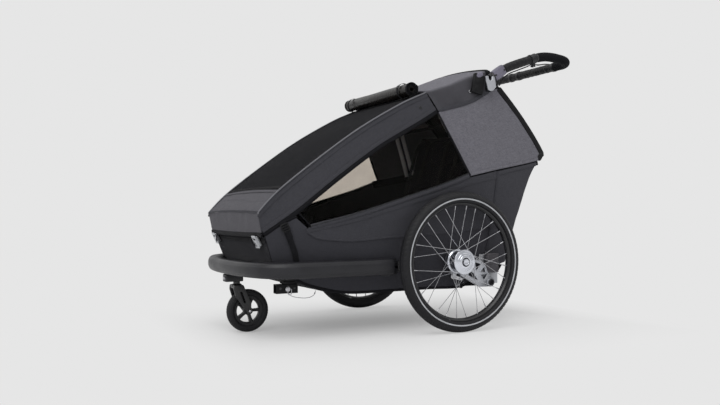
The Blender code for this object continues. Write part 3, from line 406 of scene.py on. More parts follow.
def copies(shape: Shape, origins: Array, forward: Array, upward: Array) -> Shape:
    """Set a small shape at many places at once.

    Args:
        shape: the shape, with its X axis forward and its Z axis upward.
        origins: where each copy's origin goes.
        forward: direction of each copy's X axis.
        upward: direction that each copy's Z axis keeps towards.

    Returns:
        All copies as one shape.
    """
    x = unit(np.broadcast_to(forward, origins.shape))
    y = unit(np.cross(np.broadcast_to(upward, origins.shape), x))
    turn = np.stack([x, y, np.cross(x, y)], axis=1)
    points = np.einsum("pk,nkj->npj", shape.points, turn) + origins[:, None]
    starts = (np.arange(len(origins)) * len(shape.points))[:, None, None]
    return Shape(points.reshape(-1, 3),
                 [(face[None] + starts).reshape(-1, face.shape[1]) for face in shape.faces],
                 [np.tile(uv, (len(origins), 1, 1)) for uv in shape.uvs])


def raised(line: Line, lift: float) -> Line:
    """Return a line moved out along its normals."""
    points, normal = line
    return points + normal * lift, normal


def line_on(grid: Array, row: float | None = None, column: float | None = None, lift: float = 0.0) -> Line:
    """Return one row or column of a grid, at a share from 0 to 1, raised by lift."""
    surface = np.concatenate([grid, normals_of(grid)], axis=2)
    if row is None:
        surface, row = surface.transpose(1, 0, 2), column
    place = float(row) * (len(surface) - 1)
    low = min(int(place), len(surface) - 2)
    line = surface[low] + (surface[low + 1] - surface[low]) * (place - low)
    return raised((line[:, :3], unit(line[:, 3:])), lift)


def tape(line: Line, width: float, thickness: float, shift: float = 0.0) -> Shape:
    """Return a flat woven tape along a line on a surface, shifted sideways in the surface."""
    points, normal = line
    across = unit(np.cross(np.gradient(points, axis=0), normal))
    return sweep(points + across * shift, box_section(width, thickness, thickness * 0.45, 3), normal)


def stitches(line: Line, *shifts: float) -> Shape:
    """Return rows of single stitches beside a line: short threads that dip into the cloth at both ends."""
    points, normal = line
    across = unit(np.cross(np.gradient(points, axis=0), normal))
    pitch, thread = 0.0042, 0.0007
    count = max(int(length_of(points) / pitch), 2)
    half, low, high = pitch * 0.36, -thread * 0.7, thread * 0.25
    path = np.array([(-half, 0.0, low), (-half * 0.7, 0.0, high), (half * 0.7, 0.0, high), (half, 0.0, low)])
    stitch = sweep(path, oval(thread, thread, 5))
    rows = []
    for shift in shifts:
        even = respaced(np.hstack([points + across * shift, normal]), count + 1)
        middle = (even[:-1] + even[1:]) / 2
        rows.append(copies(stitch, middle[:, :3], np.diff(even[:, :3], axis=0), middle[:, 3:]))
    return joined(rows)


def sewn(line: Line, width: float, thickness: float, shift: float = 0.0, lift: float = 0.0010) -> Shape:
    """Return a tape with one row of stitches, shifted sideways and lifted over the tape's middle."""
    return tape(line, width, thickness).joined(stitches(raised(line, lift), shift))


def zip_teeth(line: Line, pitch: float, size: Point, lift: float = 0.0) -> Shape:
    """Return the teeth of a closed zip along a line."""
    points, normal = line
    count = int(length_of(points) / pitch)
    spots = respaced(points + normal * lift, count)
    return copies(block(size, 0.0005, 2), spots, np.gradient(spots, axis=0), respaced(normal, count))


@dataclass
class Wiring:
    """Adds and links the nodes of one node tree."""

    tree: bpy.types.NodeTree

    def feed(self, node: bpy.types.Node, inputs: dict[str | int, object]) -> None:
        """Give each named or numbered input of a node a value, or link another node's output to it."""
        for key, value in inputs.items():
            if isinstance(value, bpy.types.NodeSocket):
                self.tree.links.new(value, node.inputs[key])
            else:
                node.inputs[key].default_value = value

    def add(self, kind: str, inputs: dict[str | int, object] | None = None, **settings: object) -> object:
        """Add a node and return its outputs.

        Args:
            kind: the node's type, without the leading ShaderNode.
            inputs: what feed gives its inputs.
            **settings: the node's own properties.

        Returns:
            The node's outputs.
        """
        node = self.tree.nodes.new("ShaderNode" + kind)
        for name, value in settings.items():
            setattr(node, name, value)
        self.feed(node, inputs or {})
        return node.outputs

    def maths(self, operation: str, *values: object) -> bpy.types.NodeSocket:
        """Add a Math node and return its output."""
        return self.add("Math", dict(enumerate(values)), operation=operation)[0]

    def times(self, first: object, second: object) -> bpy.types.NodeSocket:
        """Multiply two values."""
        return self.maths("MULTIPLY", first, second)

    def mix(self, share: object, first: object, second: object) -> bpy.types.NodeSocket:
        """Add a mix of two values and return its output."""
        return self.add("Mix", {0: share, 2: first, 3: second}, data_type="FLOAT")[0]

    def blend(self, share: object, first: object, second: object) -> bpy.types.NodeSocket:
        """Add a mix of two colours and return its output."""
        return self.add("Mix", {0: share, 6: first, 7: second}, data_type="RGBA")[2]

    def spread(self, value: object, low: float, high: float, to_low: float = 0.0,
               to_high: float = 1.0) -> bpy.types.NodeSocket:
        """Add a clamped Map Range node and return its output."""
        return self.add("MapRange", {0: value, 1: low, 2: high, 3: to_low, 4: to_high})[0]

    def noise(self, place: object, scale: object, detail: float) -> bpy.types.NodeSocket:
        """Add a noise texture and return its value."""
        return self.add("TexNoise", {"Vector": place, "Scale": scale, "Detail": detail})["Fac"]

    def clouded(self, share: object, colour: Colour, dark: float, pale: float) -> bpy.types.NodeSocket:
        """Shade a colour between a darker and a paler factor by a noise."""
        return self.blend(self.spread(share, 0.35, 0.65), scaled(colour, dark), scaled(colour, pale))

    def bump(self, height: object, strength: float, distance: float) -> bpy.types.NodeSocket:
        """Add a bump and return its normal."""
        return self.add("Bump", {"Height": height, "Strength": strength, "Distance": distance})[0]


def new_group(name: str, inputs: dict[str, float | None],
              outputs: Sequence[str]) -> tuple[Wiring, object, bpy.types.Node]:
    """Start a shader node group.

    Args:
        name: the group's name.
        inputs: default of each input; None makes a vector input.
        outputs: names of its outputs, which are values.

    Returns:
        The group's wiring, what is given to it, and its output node.
    """
    tree = bpy.data.node_groups.new(name, "ShaderNodeTree")
    for socket, value in inputs.items():
        kind = "NodeSocketVector" if value is None else "NodeSocketFloat"
        made = tree.interface.new_socket(socket, in_out="INPUT", socket_type=kind)
        if value is not None:
            made.default_value = value
    for socket in outputs:
        tree.interface.new_socket(socket, in_out="OUTPUT", socket_type="NodeSocketFloat")
    return Wiring(tree), tree.nodes.new("NodeGroupInput").outputs, tree.nodes.new("NodeGroupOutput")


@cache
def weave_group() -> bpy.types.NodeTree:
    """Return the plain weave: round threads that pass over and under, with streaky yarn.

    Height is the sine hump of whichever thread is on top; Tone is noise drawn out along it.
    """
    wires, given, result = new_group("weave", {"Vector": None, "Threads": 900.0, "Streak": 0.40},
                                     ("Height", "Tone"))
    place = wires.add("VectorMath", {0: given["Vector"], "Scale": given["Threads"]}, operation="SCALE")[0]
    parts = wires.add("SeparateXYZ", {0: place})
    humps = [wires.maths("ABSOLUTE", wires.maths("SINE", wires.times(parts[k], math.pi))) for k in (0, 1)]
    over = wires.add("TexChecker", {"Vector": place, "Scale": 1.0, "Color1": (1, 1, 1, 1),
                                    "Color2": (0, 0, 0, 1)})["Fac"]
    drawn = [wires.add("VectorMath", {0: place, 1: stretch}, operation="MULTIPLY")[0]
             for stretch in ((1.0, 0.12, 1.0), (0.12, 1.0, 1.0))]
    tones = [wires.noise(along, given["Streak"], 1.0) for along in drawn]
    wires.feed(result, {"Height": wires.mix(over, *humps), "Tone": wires.mix(over, *tones)})
    return wires.tree


@cache
def grain_group() -> bpy.types.NodeTree:
    """Return fine moulded or cast grain: cell noise for the pits over soft broad noise."""
    wires, given, result = new_group("grain", {"Vector": None, "Scale": 900.0}, ("Height", "Cloud"))
    place, scale = given["Vector"], given["Scale"]
    cells = wires.add("TexVoronoi", {"Vector": place, "Scale": scale}, feature="SMOOTH_F1")["Distance"]
    wires.feed(result, {"Height": wires.maths("ADD", cells, wires.noise(place, scale, 2.0)),
                        "Cloud": wires.noise(place, 22.0, 4.0)})
    return wires.tree


@cache
def wear_group() -> bpy.types.NodeTree:
    """Return rubbed edges, where pointiness is high, and dust, where the surface faces up."""
    wires, given, result = new_group("wear", {"Vector": None}, ("Edge", "Dust"))
    around = wires.add("NewGeometry")
    patchy, fine = wires.noise(given["Vector"], 60.0, 3.0), wires.noise(given["Vector"], 300.0, 2.0)
    edge = wires.spread(around["Pointiness"], 0.53, 0.60)
    upward = wires.add("SeparateXYZ", {0: around["Normal"]})[2]
    settled = wires.times(wires.spread(patchy, 0.35, 0.7, 0.2, 1.0), wires.spread(fine, 0.45, 0.6, 0.4, 1.0))
    wires.feed(result, {"Edge": wires.times(edge, wires.spread(patchy, 0.40, 0.62, 0.15, 1.0)),
                        "Dust": wires.times(wires.spread(upward, 0.1, 1.0), settled)})
    return wires.tree


def linear(red: int, green: int, blue: int) -> Colour:
    """Return a colour written in screen values from 0 to 255 as linear light."""
    share = np.array([red, green, blue]) / 255.0
    value = np.where(share <= 0.04045, share / 12.92, ((share + 0.055) / 1.055) ** 2.4)
    return (*(float(part) for part in value), 1.0)


def scaled(colour: Sequence[float], factor: float) -> Colour:
    """Return a colour made darker or lighter."""
    return (*(min(part * factor, 1.0) for part in colour[:3]), 1.0)


def start_material(name: str) -> tuple[bpy.types.Material, Wiring, bpy.types.Node, object]:
    """Return a new material, its wiring, its Principled shader and its texture coordinates."""
    material = bpy.data.materials.new(name)
    material.use_nodes = True
    wires = Wiring(material.node_tree)
    return material, wires, material.node_tree.nodes["Principled BSDF"], wires.add("TexCoord")


class Slot(Enum):
    """Names of the material slots."""

    FRAME_TUBE = "frame_tube"
    BUMPER_PLASTIC = "bumper_plastic"
    BODY_FABRIC = "body_fabric"
    LIGHT_FABRIC = "light_fabric"
    DARK_FABRIC = "dark_fabric"
    SCREEN_MESH = "screen_mesh"
    TINTED_WINDOW = "tinted_window"
    ROLLED_FILM = "rolled_film"
    DARK_PLASTIC = "dark_plastic"
    GREY_RUBBER = "grey_rubber"
    BLACK_RUBBER = "black_rubber"
    TYRE_RUBBER = "tyre_rubber"
    GRIP_FOAM = "grip_foam"
    BLACK_METAL = "black_metal"
    SILVER_METAL = "silver_metal"
    STEEL = "steel"


@dataclass(frozen=True)
class ClothFinish:
    """Woven or knitted fabric. Its threads follow the UV map, which is in metres."""

    slot: Slot
    colour: Colour
    threads: float = 900.0
    melange: float = 0.30
    roughness: float = 0.85
    sheen: float = 0.05
    bump: float = 0.5
    specular: float = 0.05
    dust: float = 0.03
    # Colour factor for faces that face sideways: painted shade, so that the flanks render darker than the top.
    flank: float = 1.0

    def material(self, name: str) -> bpy.types.Material:
        """Build the material: yarn tones over the colour, painted shade in the weave's hollows and, where flank
        is below 1, painted shade on sideways faces, weave and soft crumple as bumps.
        """
        material, wires, shader, where = start_material(name)
        uv, place = where["UV"], where["Object"]
        weave = wires.add("Group", {"Vector": uv, "Threads": self.threads}, node_tree=weave_group())
        wear = wires.add("Group", {"Vector": place}, node_tree=wear_group())
        cloud = wires.noise(place, 9.0, 4.0)
        fleck = wires.noise(uv, self.threads / 5.0, 3.0)
        tone = wires.maths("ADD", wires.times(weave["Tone"], 0.6), wires.times(fleck, 0.4))
        yarn = wires.blend(wires.spread(tone, 0.36, 0.64), scaled(self.colour, 1 - self.melange),
                           scaled(self.colour, 1 + self.melange))
        # Painted shade: faces whose normal points sideways are blended towards the colour times flank.
        if self.flank < 1.0:
            across = wires.maths("ABSOLUTE", wires.add("SeparateXYZ", {0: where["Normal"]})[0])
            yarn = wires.blend(wires.spread(across, 0.15, 0.90), yarn, scaled(self.colour, self.flank))
        # Painted shade: the colour darkens where the weave dips, in the hollows between the threads.
        gap_shade = wires.blend(wires.spread(weave["Height"], 0.0, 0.5, 0.35, 0.0), yarn, scaled(self.colour, 0.45))
        aged = wires.blend(wires.spread(cloud, 0.35, 0.65, 0.0, 0.10), gap_shade, scaled(self.colour, 1.35))
        crumple = wires.bump(wires.noise(place, 38.0, 3.0), 0.22, 0.004)
        fine = wires.add("Bump", {"Height": weave["Height"], "Strength": self.bump,
                                  "Distance": 0.4 / self.threads, "Normal": crumple})[0]
        wires.feed(shader, {
            "Base Color": wires.blend(wires.times(wear["Dust"], self.dust), aged, (0.32, 0.31, 0.29, 1)),
            "Roughness": wires.spread(cloud, 0.3, 0.7, self.roughness - 0.06, min(self.roughness + 0.06, 1.0)),
            "Specular IOR Level": self.specular, "Sheen Weight": self.sheen, "Sheen Roughness": 0.45,
            "Normal": fine})
        return material


@dataclass(frozen=True)
class MouldedFinish:
    """Moulded plastic, rubber or foam."""

    slot: Slot
    colour: Colour
    roughness: float = 0.45
    grain: float = 900.0
    bump: float = 0.25
    edge: float = 0.35
    dust: float = 0.12
    specular: float = 0.4

    def material(self, name: str) -> bpy.types.Material:
        """Build the material: clouded colour, paler rubbed edges, grain as bumps."""
        material, wires, shader, where = start_material(name)
        place = where["Object"]
        grain = wires.add("Group", {"Vector": place, "Scale": self.grain}, node_tree=grain_group())
        wear = wires.add("Group", {"Vector": place}, node_tree=wear_group())
        rubbed = wires.blend(wires.times(wear["Edge"], self.edge),
                             wires.clouded(grain["Cloud"], self.colour, 0.86, 1.14),
                             scaled([part + 0.05 for part in self.colour], 1.5))
        gloss = wires.spread(grain["Cloud"], 0.3, 0.7, self.roughness - 0.07, self.roughness + 0.07)
        wires.feed(shader, {
            "Base Color": wires.blend(wires.times(wear["Dust"], self.dust), rubbed, (0.34, 0.33, 0.30, 1)),
            "Roughness": wires.maths("SUBTRACT", gloss, wires.times(wear["Edge"], 0.08)),
            "Specular IOR Level": self.specular,
            "Normal": wires.bump(grain["Height"], self.bump, 0.5 / self.grain)})
        return material


@dataclass(frozen=True)
class MetalFinish:
    """Bare, polished or coated metal."""

    slot: Slot
    colour: Colour
    roughness: float = 0.28
    metallic: float = 1.0
    scratch: float = 0.15
    edge: float = 0.25
    grain: float = 500.0
    coat: float = 0.0

    def material(self, name: str) -> bpy.types.Material:
        """Build the material: fine drawn scratches, clouded gloss, paler edges."""
        material, wires, shader, where = start_material(name)
        place = where["Object"]
        grain = wires.add("Group", {"Vector": place, "Scale": self.grain}, node_tree=grain_group())
        wear = wires.add("Group", {"Vector": place}, node_tree=wear_group())
        drawn = wires.add("VectorMath", {0: place, 1: (900.0, 40.0, 900.0)}, operation="MULTIPLY")[0]
        lines = wires.noise(drawn, 1.0, 2.0)
        streaked = wires.blend(wires.spread(lines, 0.35, 0.65, 0.0, self.scratch),
                               wires.clouded(grain["Cloud"], self.colour, 0.92, 1.06), scaled(self.colour, 0.7))
        rubbed = wires.blend(wires.times(wear["Edge"], self.edge), streaked,
                             scaled([part + 0.12 for part in self.colour], 1.15))
        gloss = wires.spread(grain["Cloud"], 0.3, 0.7, self.roughness - 0.05, self.roughness + 0.05)
        height = wires.maths("ADD", wires.times(grain["Height"], 0.5), lines)
        wires.feed(shader, {
            "Base Color": wires.blend(wires.times(wear["Dust"], 0.06), rubbed, (0.30, 0.29, 0.27, 1)),
            "Roughness": wires.maths("ADD", gloss, wires.times(lines, 0.05)), "Metallic": self.metallic,
            "Coat Weight": self.coat, "Coat Roughness": 0.15, "Normal": wires.bump(height, 0.12, 0.0006)})
        return material


@dataclass(frozen=True)
class FilmFinish:
    """Smoked plastic film, seen through: its colour is the share of light that one layer passes."""

    slot: Slot
    colour: Colour
    roughness: float = 0.03
    waviness: float = 0.25
    bending: float = 1.12

    def material(self, name: str) -> bpy.types.Material:
        """Build the material: an even tint with faint haze, slow waves and a little dust."""
        material, wires, shader, where = start_material(name)
        place = where["Object"]
        wear = wires.add("Group", {"Vector": place}, node_tree=wear_group())
        haze = wires.noise(place, 14.0, 5.0)
        tint = wires.clouded(haze, self.colour, 0.97, 1.03)
        wires.feed(shader, {
            "Base Color": wires.blend(wires.times(wear["Dust"], 0.05), tint, (0.4, 0.39, 0.36, 1)),
            "Roughness": wires.spread(haze, 0.3, 0.7, self.roughness - 0.01, self.roughness + 0.03),
            "Transmission Weight": 1.0, "IOR": self.bending,
            "Normal": wires.bump(wires.noise(place, 7.0, 1.0), self.waviness, 0.02)})
        return material


class Finish(Enum):
    """The finishes of this trailer, each with the slot that it mostly belongs to."""

    BODY_CLOTH = ClothFinish(Slot.BODY_FABRIC, linear(67, 67, 72), melange=0.14, roughness=0.80)
    LOWER_CLOTH = ClothFinish(Slot.BODY_FABRIC, linear(61, 61, 66), melange=0.10, roughness=0.74)
    HOOD_CLOTH = ClothFinish(Slot.BODY_FABRIC, linear(89, 88, 93), melange=0.14, roughness=0.78)
    MELANGE = ClothFinish(Slot.LIGHT_FABRIC, linear(112, 111, 118), threads=620.0, melange=0.24, roughness=0.92)
    # The roof's flanks are painted darker than its top: painted shade on the sideways faces.
    ROOF_CLOTH = ClothFinish(Slot.LIGHT_FABRIC, linear(118, 117, 124), threads=620.0, melange=0.22,
                             roughness=0.92, flank=0.32)
    FRONT_CLOTH = ClothFinish(Slot.DARK_FABRIC, linear(42, 42, 46), melange=0.12)
    # Black mesh drawn as an opaque sheet: its dark colour is partly the mesh's own and partly painted shade of
    # the cabin behind the holes.
    SCREEN = ClothFinish(Slot.SCREEN_MESH, linear(25, 25, 29), threads=520.0, melange=0.16, roughness=0.90,
                         bump=0.9, specular=0.02)
    BINDING = ClothFinish(Slot.DARK_FABRIC, linear(26, 26, 29), threads=1100.0, melange=0.15, roughness=0.75)
    WEBBING = ClothFinish(Slot.DARK_FABRIC, linear(32, 32, 35), threads=700.0, melange=0.25, bump=0.9)
    # Pale piping: its colour is a painted highlight along the crest.
    PIPING = ClothFinish(Slot.BODY_FABRIC, linear(118, 118, 123), threads=1300.0, melange=0.15, roughness=0.6)
    PAD_CLOTH = ClothFinish(Slot.DARK_FABRIC, linear(44, 44, 50), threads=700.0, melange=0.10, specular=0.0,
                            bump=0.2)
    THREAD = ClothFinish(Slot.BODY_FABRIC, linear(78, 78, 83), threads=2500.0, melange=0.15, roughness=0.6)
    SMOKE_FILM = FilmFinish(Slot.TINTED_WINDOW, (0.704, 0.667, 0.621, 1.0))
    ROLLED_FILM = MouldedFinish(Slot.ROLLED_FILM, linear(24, 21, 19), roughness=0.24, grain=160.0, bump=0.30,
                                dust=0.0, edge=0.1, specular=0.25)
    BUMPER_PLASTIC = MouldedFinish(Slot.BUMPER_PLASTIC, linear(34, 34, 38), roughness=0.40, grain=1100.0,
                                   bump=0.30, dust=0.02)
    DARK_PLASTIC = MouldedFinish(Slot.DARK_PLASTIC, linear(29, 29, 32), roughness=0.42, grain=1200.0, bump=0.3,
                                 dust=0.03)
    GREY_RUBBER = MouldedFinish(Slot.GREY_RUBBER, linear(84, 82, 86), roughness=0.60, bump=0.3, specular=0.3)
    GREY_CASTING = MouldedFinish(Slot.GREY_RUBBER, linear(112, 109, 124), roughness=0.50, grain=700.0,
                                 bump=0.35, dust=0.03)
    BLACK_RUBBER = MouldedFinish(Slot.BLACK_RUBBER, linear(18, 18, 20), roughness=0.62, grain=1400.0, bump=0.3,
                                 dust=0.02, specular=0.2)
    TYRE_RUBBER = MouldedFinish(Slot.TYRE_RUBBER, linear(27, 27, 30), roughness=0.58, grain=1300.0, bump=0.4,
                                dust=0.03, specular=0.3)
    STRIPE = MouldedFinish(Slot.TYRE_RUBBER, linear(176, 178, 182), roughness=0.35, grain=1500.0, bump=0.4,
                           specular=0.6)
    FOAM = MouldedFinish(Slot.GRIP_FOAM, linear(24, 24, 27), roughness=0.85, grain=650.0, bump=0.8, edge=0.1,
                         dust=0.03, specular=0.1)
    SLEEVE = MouldedFinish(Slot.GRIP_FOAM, linear(22, 22, 25), roughness=0.55, grain=90.0, bump=0.5, edge=0.2,
                           dust=0.03, specular=0.3)
    BLACK_METAL = MetalFinish(Slot.BLACK_METAL, linear(24, 24, 27), roughness=0.40, metallic=0.0, coat=0.25)
    CAST_METAL = MetalFinish(Slot.SILVER_METAL, linear(202, 204, 210), roughness=0.38, grain=800.0)
    POLISHED_METAL = MetalFinish(Slot.SILVER_METAL, linear(225, 228, 236), roughness=0.16, scratch=0.10)
    FRAME_METAL = MetalFinish(Slot.SILVER_METAL, linear(190, 192, 196), roughness=0.34)
    # Paler and bluer than the posts' bare metal, and mostly matt: painted light, so that the posts look lit in
    # the dim cabin behind the brown film.
    POST_METAL = MetalFinish(Slot.FRAME_TUBE, linear(238, 242, 252), roughness=0.40, metallic=0.15)
    STEEL = MetalFinish(Slot.STEEL, linear(190, 190, 194), roughness=0.22)

    @property
    @cache
    def look(self) -> bpy.types.Material:
        """The finish's material, made at its first use."""
        return self.value.material(self.name.lower())


def add_piece(name: str, shape: Shape, finish: Finish, body: str = "", hides: Sequence[str] = (),
              crease: float = SOFT_CREASE, slot: Slot | None = None) -> bpy.types.Object:
    """Put a shape into the scene as one piece.

    Args:
        name: the piece's name.
        shape: the shape, with Y counted from the axle.
        finish: what it is finished in.
        body: the CAD body it rides on; empty if the caller settles that.
        hides: CAD nodes that it stands for.
        crease: edges sharper than this many degrees stay sharp.
        slot: not used.

    Returns:
        The piece.
    """
    mesh = bpy.data.meshes.new(name)
    totals = np.concatenate([np.full(len(face), face.shape[1]) for face in shape.faces])
    corners = np.concatenate([face.ravel() for face in shape.faces]).astype(np.int32)
    mesh.vertices.add(len(shape.points))
    mesh.vertices.foreach_set("co", (shape.points + (0.0, AXLE_Y, 0.0)).ravel())
    mesh.loops.add(len(corners))
    mesh.loops.foreach_set("vertex_index", corners)
    mesh.polygons.add(len(totals))
    mesh.polygons.foreach_set("loop_start", np.r_[0, np.cumsum(totals)[:-1]].astype(np.int32))
    mesh.polygons.foreach_set("loop_total", totals.astype(np.int32))
    mesh.update(calc_edges=True)
    layer = mesh.uv_layers.new(name="cloth")
    layer.data.foreach_set("uv", np.concatenate([uv.reshape(-1, 2) for uv in shape.uvs]).ravel())
    work = bmesh.new()
    work.from_mesh(mesh)
    bmesh.ops.remove_doubles(work, verts=work.verts, dist=1e-5)
    bmesh.ops.dissolve_degenerate(work, edges=work.edges, dist=1e-6)
    bmesh.ops.recalc_face_normals(work, faces=work.faces)
    work.to_mesh(mesh)
    work.free()
    mesh.shade_smooth()
    mesh.set_sharp_from_angle(angle=math.radians(crease))
    mesh.materials.append(finish.look)
    item = new_object(name, mesh)
    if hides:
        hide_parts(*hides)
    if body:
        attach(item, body)
    LOG.info("%s: %d triangles", name, sum(len(face.vertices) - 2 for face in mesh.polygons))
    return item


def declare_sheet(item: bpy.types.Object, grid: Array, extras: Sequence[bpy.types.Object] = ()) -> None:
    """Work out a fabric panel's width and height from the longest row and column of its grid; neither is kept.
    """
    width = max(length_of(row) for row in grid)
    height = max(length_of(column) for column in grid.transpose(1, 0, 2))
    list(extras)


@dataclass
class BodyOutline:
    """The fabric body's outlines seen from the side, as (y, z), and its width."""

    rail: Keys = ((-0.645, 0.507), (-0.500, 0.617), (-0.349, 0.721), (-0.187, 0.813), (-0.073, 0.866),
                  (0.034, 0.904), (0.125, 0.940), (0.205, 0.968))
    hood: Keys = ((-0.709, 0.357), (-0.722, 0.424), (-0.716, 0.437), (-0.647, 0.505))
    band_lower: Keys = ((-0.706, 0.362), (-0.594, 0.434), (-0.437, 0.552), (-0.281, 0.659), (-0.117, 0.751),
                        (-0.042, 0.797))
    roof_lower: Keys = ((-0.034, 0.799), (0.103, 0.838), (0.192, 0.884))
    sill: Keys = ((-0.555, 0.376), (-0.380, 0.418), (-0.220, 0.465), (-0.050, 0.515), (0.071, 0.556),
                  (0.205, 0.583), (0.437, 0.627))
    rear_slope: Keys = ((0.209, 0.962), (0.252, 0.910), (0.360, 0.791), (0.460, 0.672), (0.455, 0.645),
                        (0.437, 0.631))
    rear_lower: Keys = ((0.437, 0.620), (0.399, 0.567), (0.368, 0.503), (0.338, 0.425), (0.317, 0.359),
                        (0.284, 0.232))
    belly: Keys = ((-0.699, 0.349), (-0.682, 0.300), (-0.662, 0.258), (-0.600, 0.208), (-0.520, 0.172),
                   (-0.440, 0.152), (-0.300, 0.150), (-0.100, 0.150), (0.080, 0.150), (0.195, 0.151),
                   (0.240, 0.180), (0.272, 0.222))
    half_widths: Keys = ((-0.710, 0.291), (-0.600, 0.315), (-0.450, 0.337), (-0.250, 0.350), (0.000, 0.354),
                         (0.150, 0.348), (0.300, 0.322), (0.460, 0.289))
    crest_half: float = 0.290
    tuck: float = 0.062
    belly_z: float = 0.150
    floor_inset: float = 0.0055

    def half_width(self, y: Array | float, z: Array | float) -> Array:
        """Return the body's half width at a place seen from the side.

        From the sill it narrows in a straight line up to the crest, and by the power 1.5
        of the depth down to the belly.
        """
        y, z = np.asarray(y, dtype=float), np.asarray(z, dtype=float)
        wide = np.interp(y, *np.transpose(self.half_widths))
        sill = np.interp(y, *np.transpose(self.sill))
        crest = np.maximum(np.interp(y, *np.transpose(self.rail)), sill + 0.05)
        up = np.clip((z - sill) / (crest - sill), 0.0, 1.0)
        down = np.clip((sill - z) / (sill - self.belly_z), 0.0, 1.0)
        return wide + (self.crest_half - wide) * up - self.tuck * down ** 1.5

    def on_side(self, places: Array) -> Array:
        """Return 3D points on the left side for (y, z) places."""
        return np.concatenate([self.half_width(places[..., 0], places[..., 1])[..., None], places], axis=-1)

    def between(self, low: Array, high: Array, rows: int, rear: Keys | None = None) -> Array:
        """Return a side grid between two lines, with its rear edge bent to an outline if given."""
        t = np.linspace(0.0, 1.0, rows)[:, None, None]
        places = low[None] + (high - low)[None] * t
        if rear is not None:
            last = smooth_line(rear, rows)
            share = np.linspace(0.0, 1.0, low.shape[0])[None, :, None]
            places = places + (last[:, None] - places[:, -1:]) * share
        return self.on_side(places)

    def across(self, line: Keys, rows: int, columns: int, half: float | None = None, crown: float = 0.0,
               shape: Array | None = None) -> Array:
        """Return a grid from side to side along an outline, bowed by a parabola of height crown."""
        points = smooth_line(line, rows)
        wide = np.full(rows, half) if half else self.half_width(points[:, 0], points[:, 1]) - self.floor_inset
        slope = np.gradient(points, axis=0)
        normal = unit(np.column_stack([-slope[:, 1], slope[:, 0]]))
        span = np.linspace(-1.0, 1.0, columns)
        lift = crown * (np.ones(rows) if shape is None else shape)[:, None] * (1 - span ** 2)[None]
        return np.stack([wide[:, None] * span[None], points[:, :1] + normal[:, :1] * lift,
                         points[:, 1:] + normal[:, 1:] * lift], axis=-1)


@dataclass
class OneSide:
    """Pieces that are worked out for the left side, and mirrored for the right one."""

    label: str
    side: float

    def piece(self, name: str, shape: Shape, finish: Finish, body: str = "", hides: Sequence[str] = (),
              crease: float = SOFT_CREASE, slot: Slot | None = None) -> bpy.types.Object:
        """Add a piece of this side; its name and the nodes that it hides end in the side's label."""
        return add_piece(f"{name}_{self.label}", shape.on(self.side), finish, body,
                         [f"{node}_{self.label}" for node in hides], crease, slot)


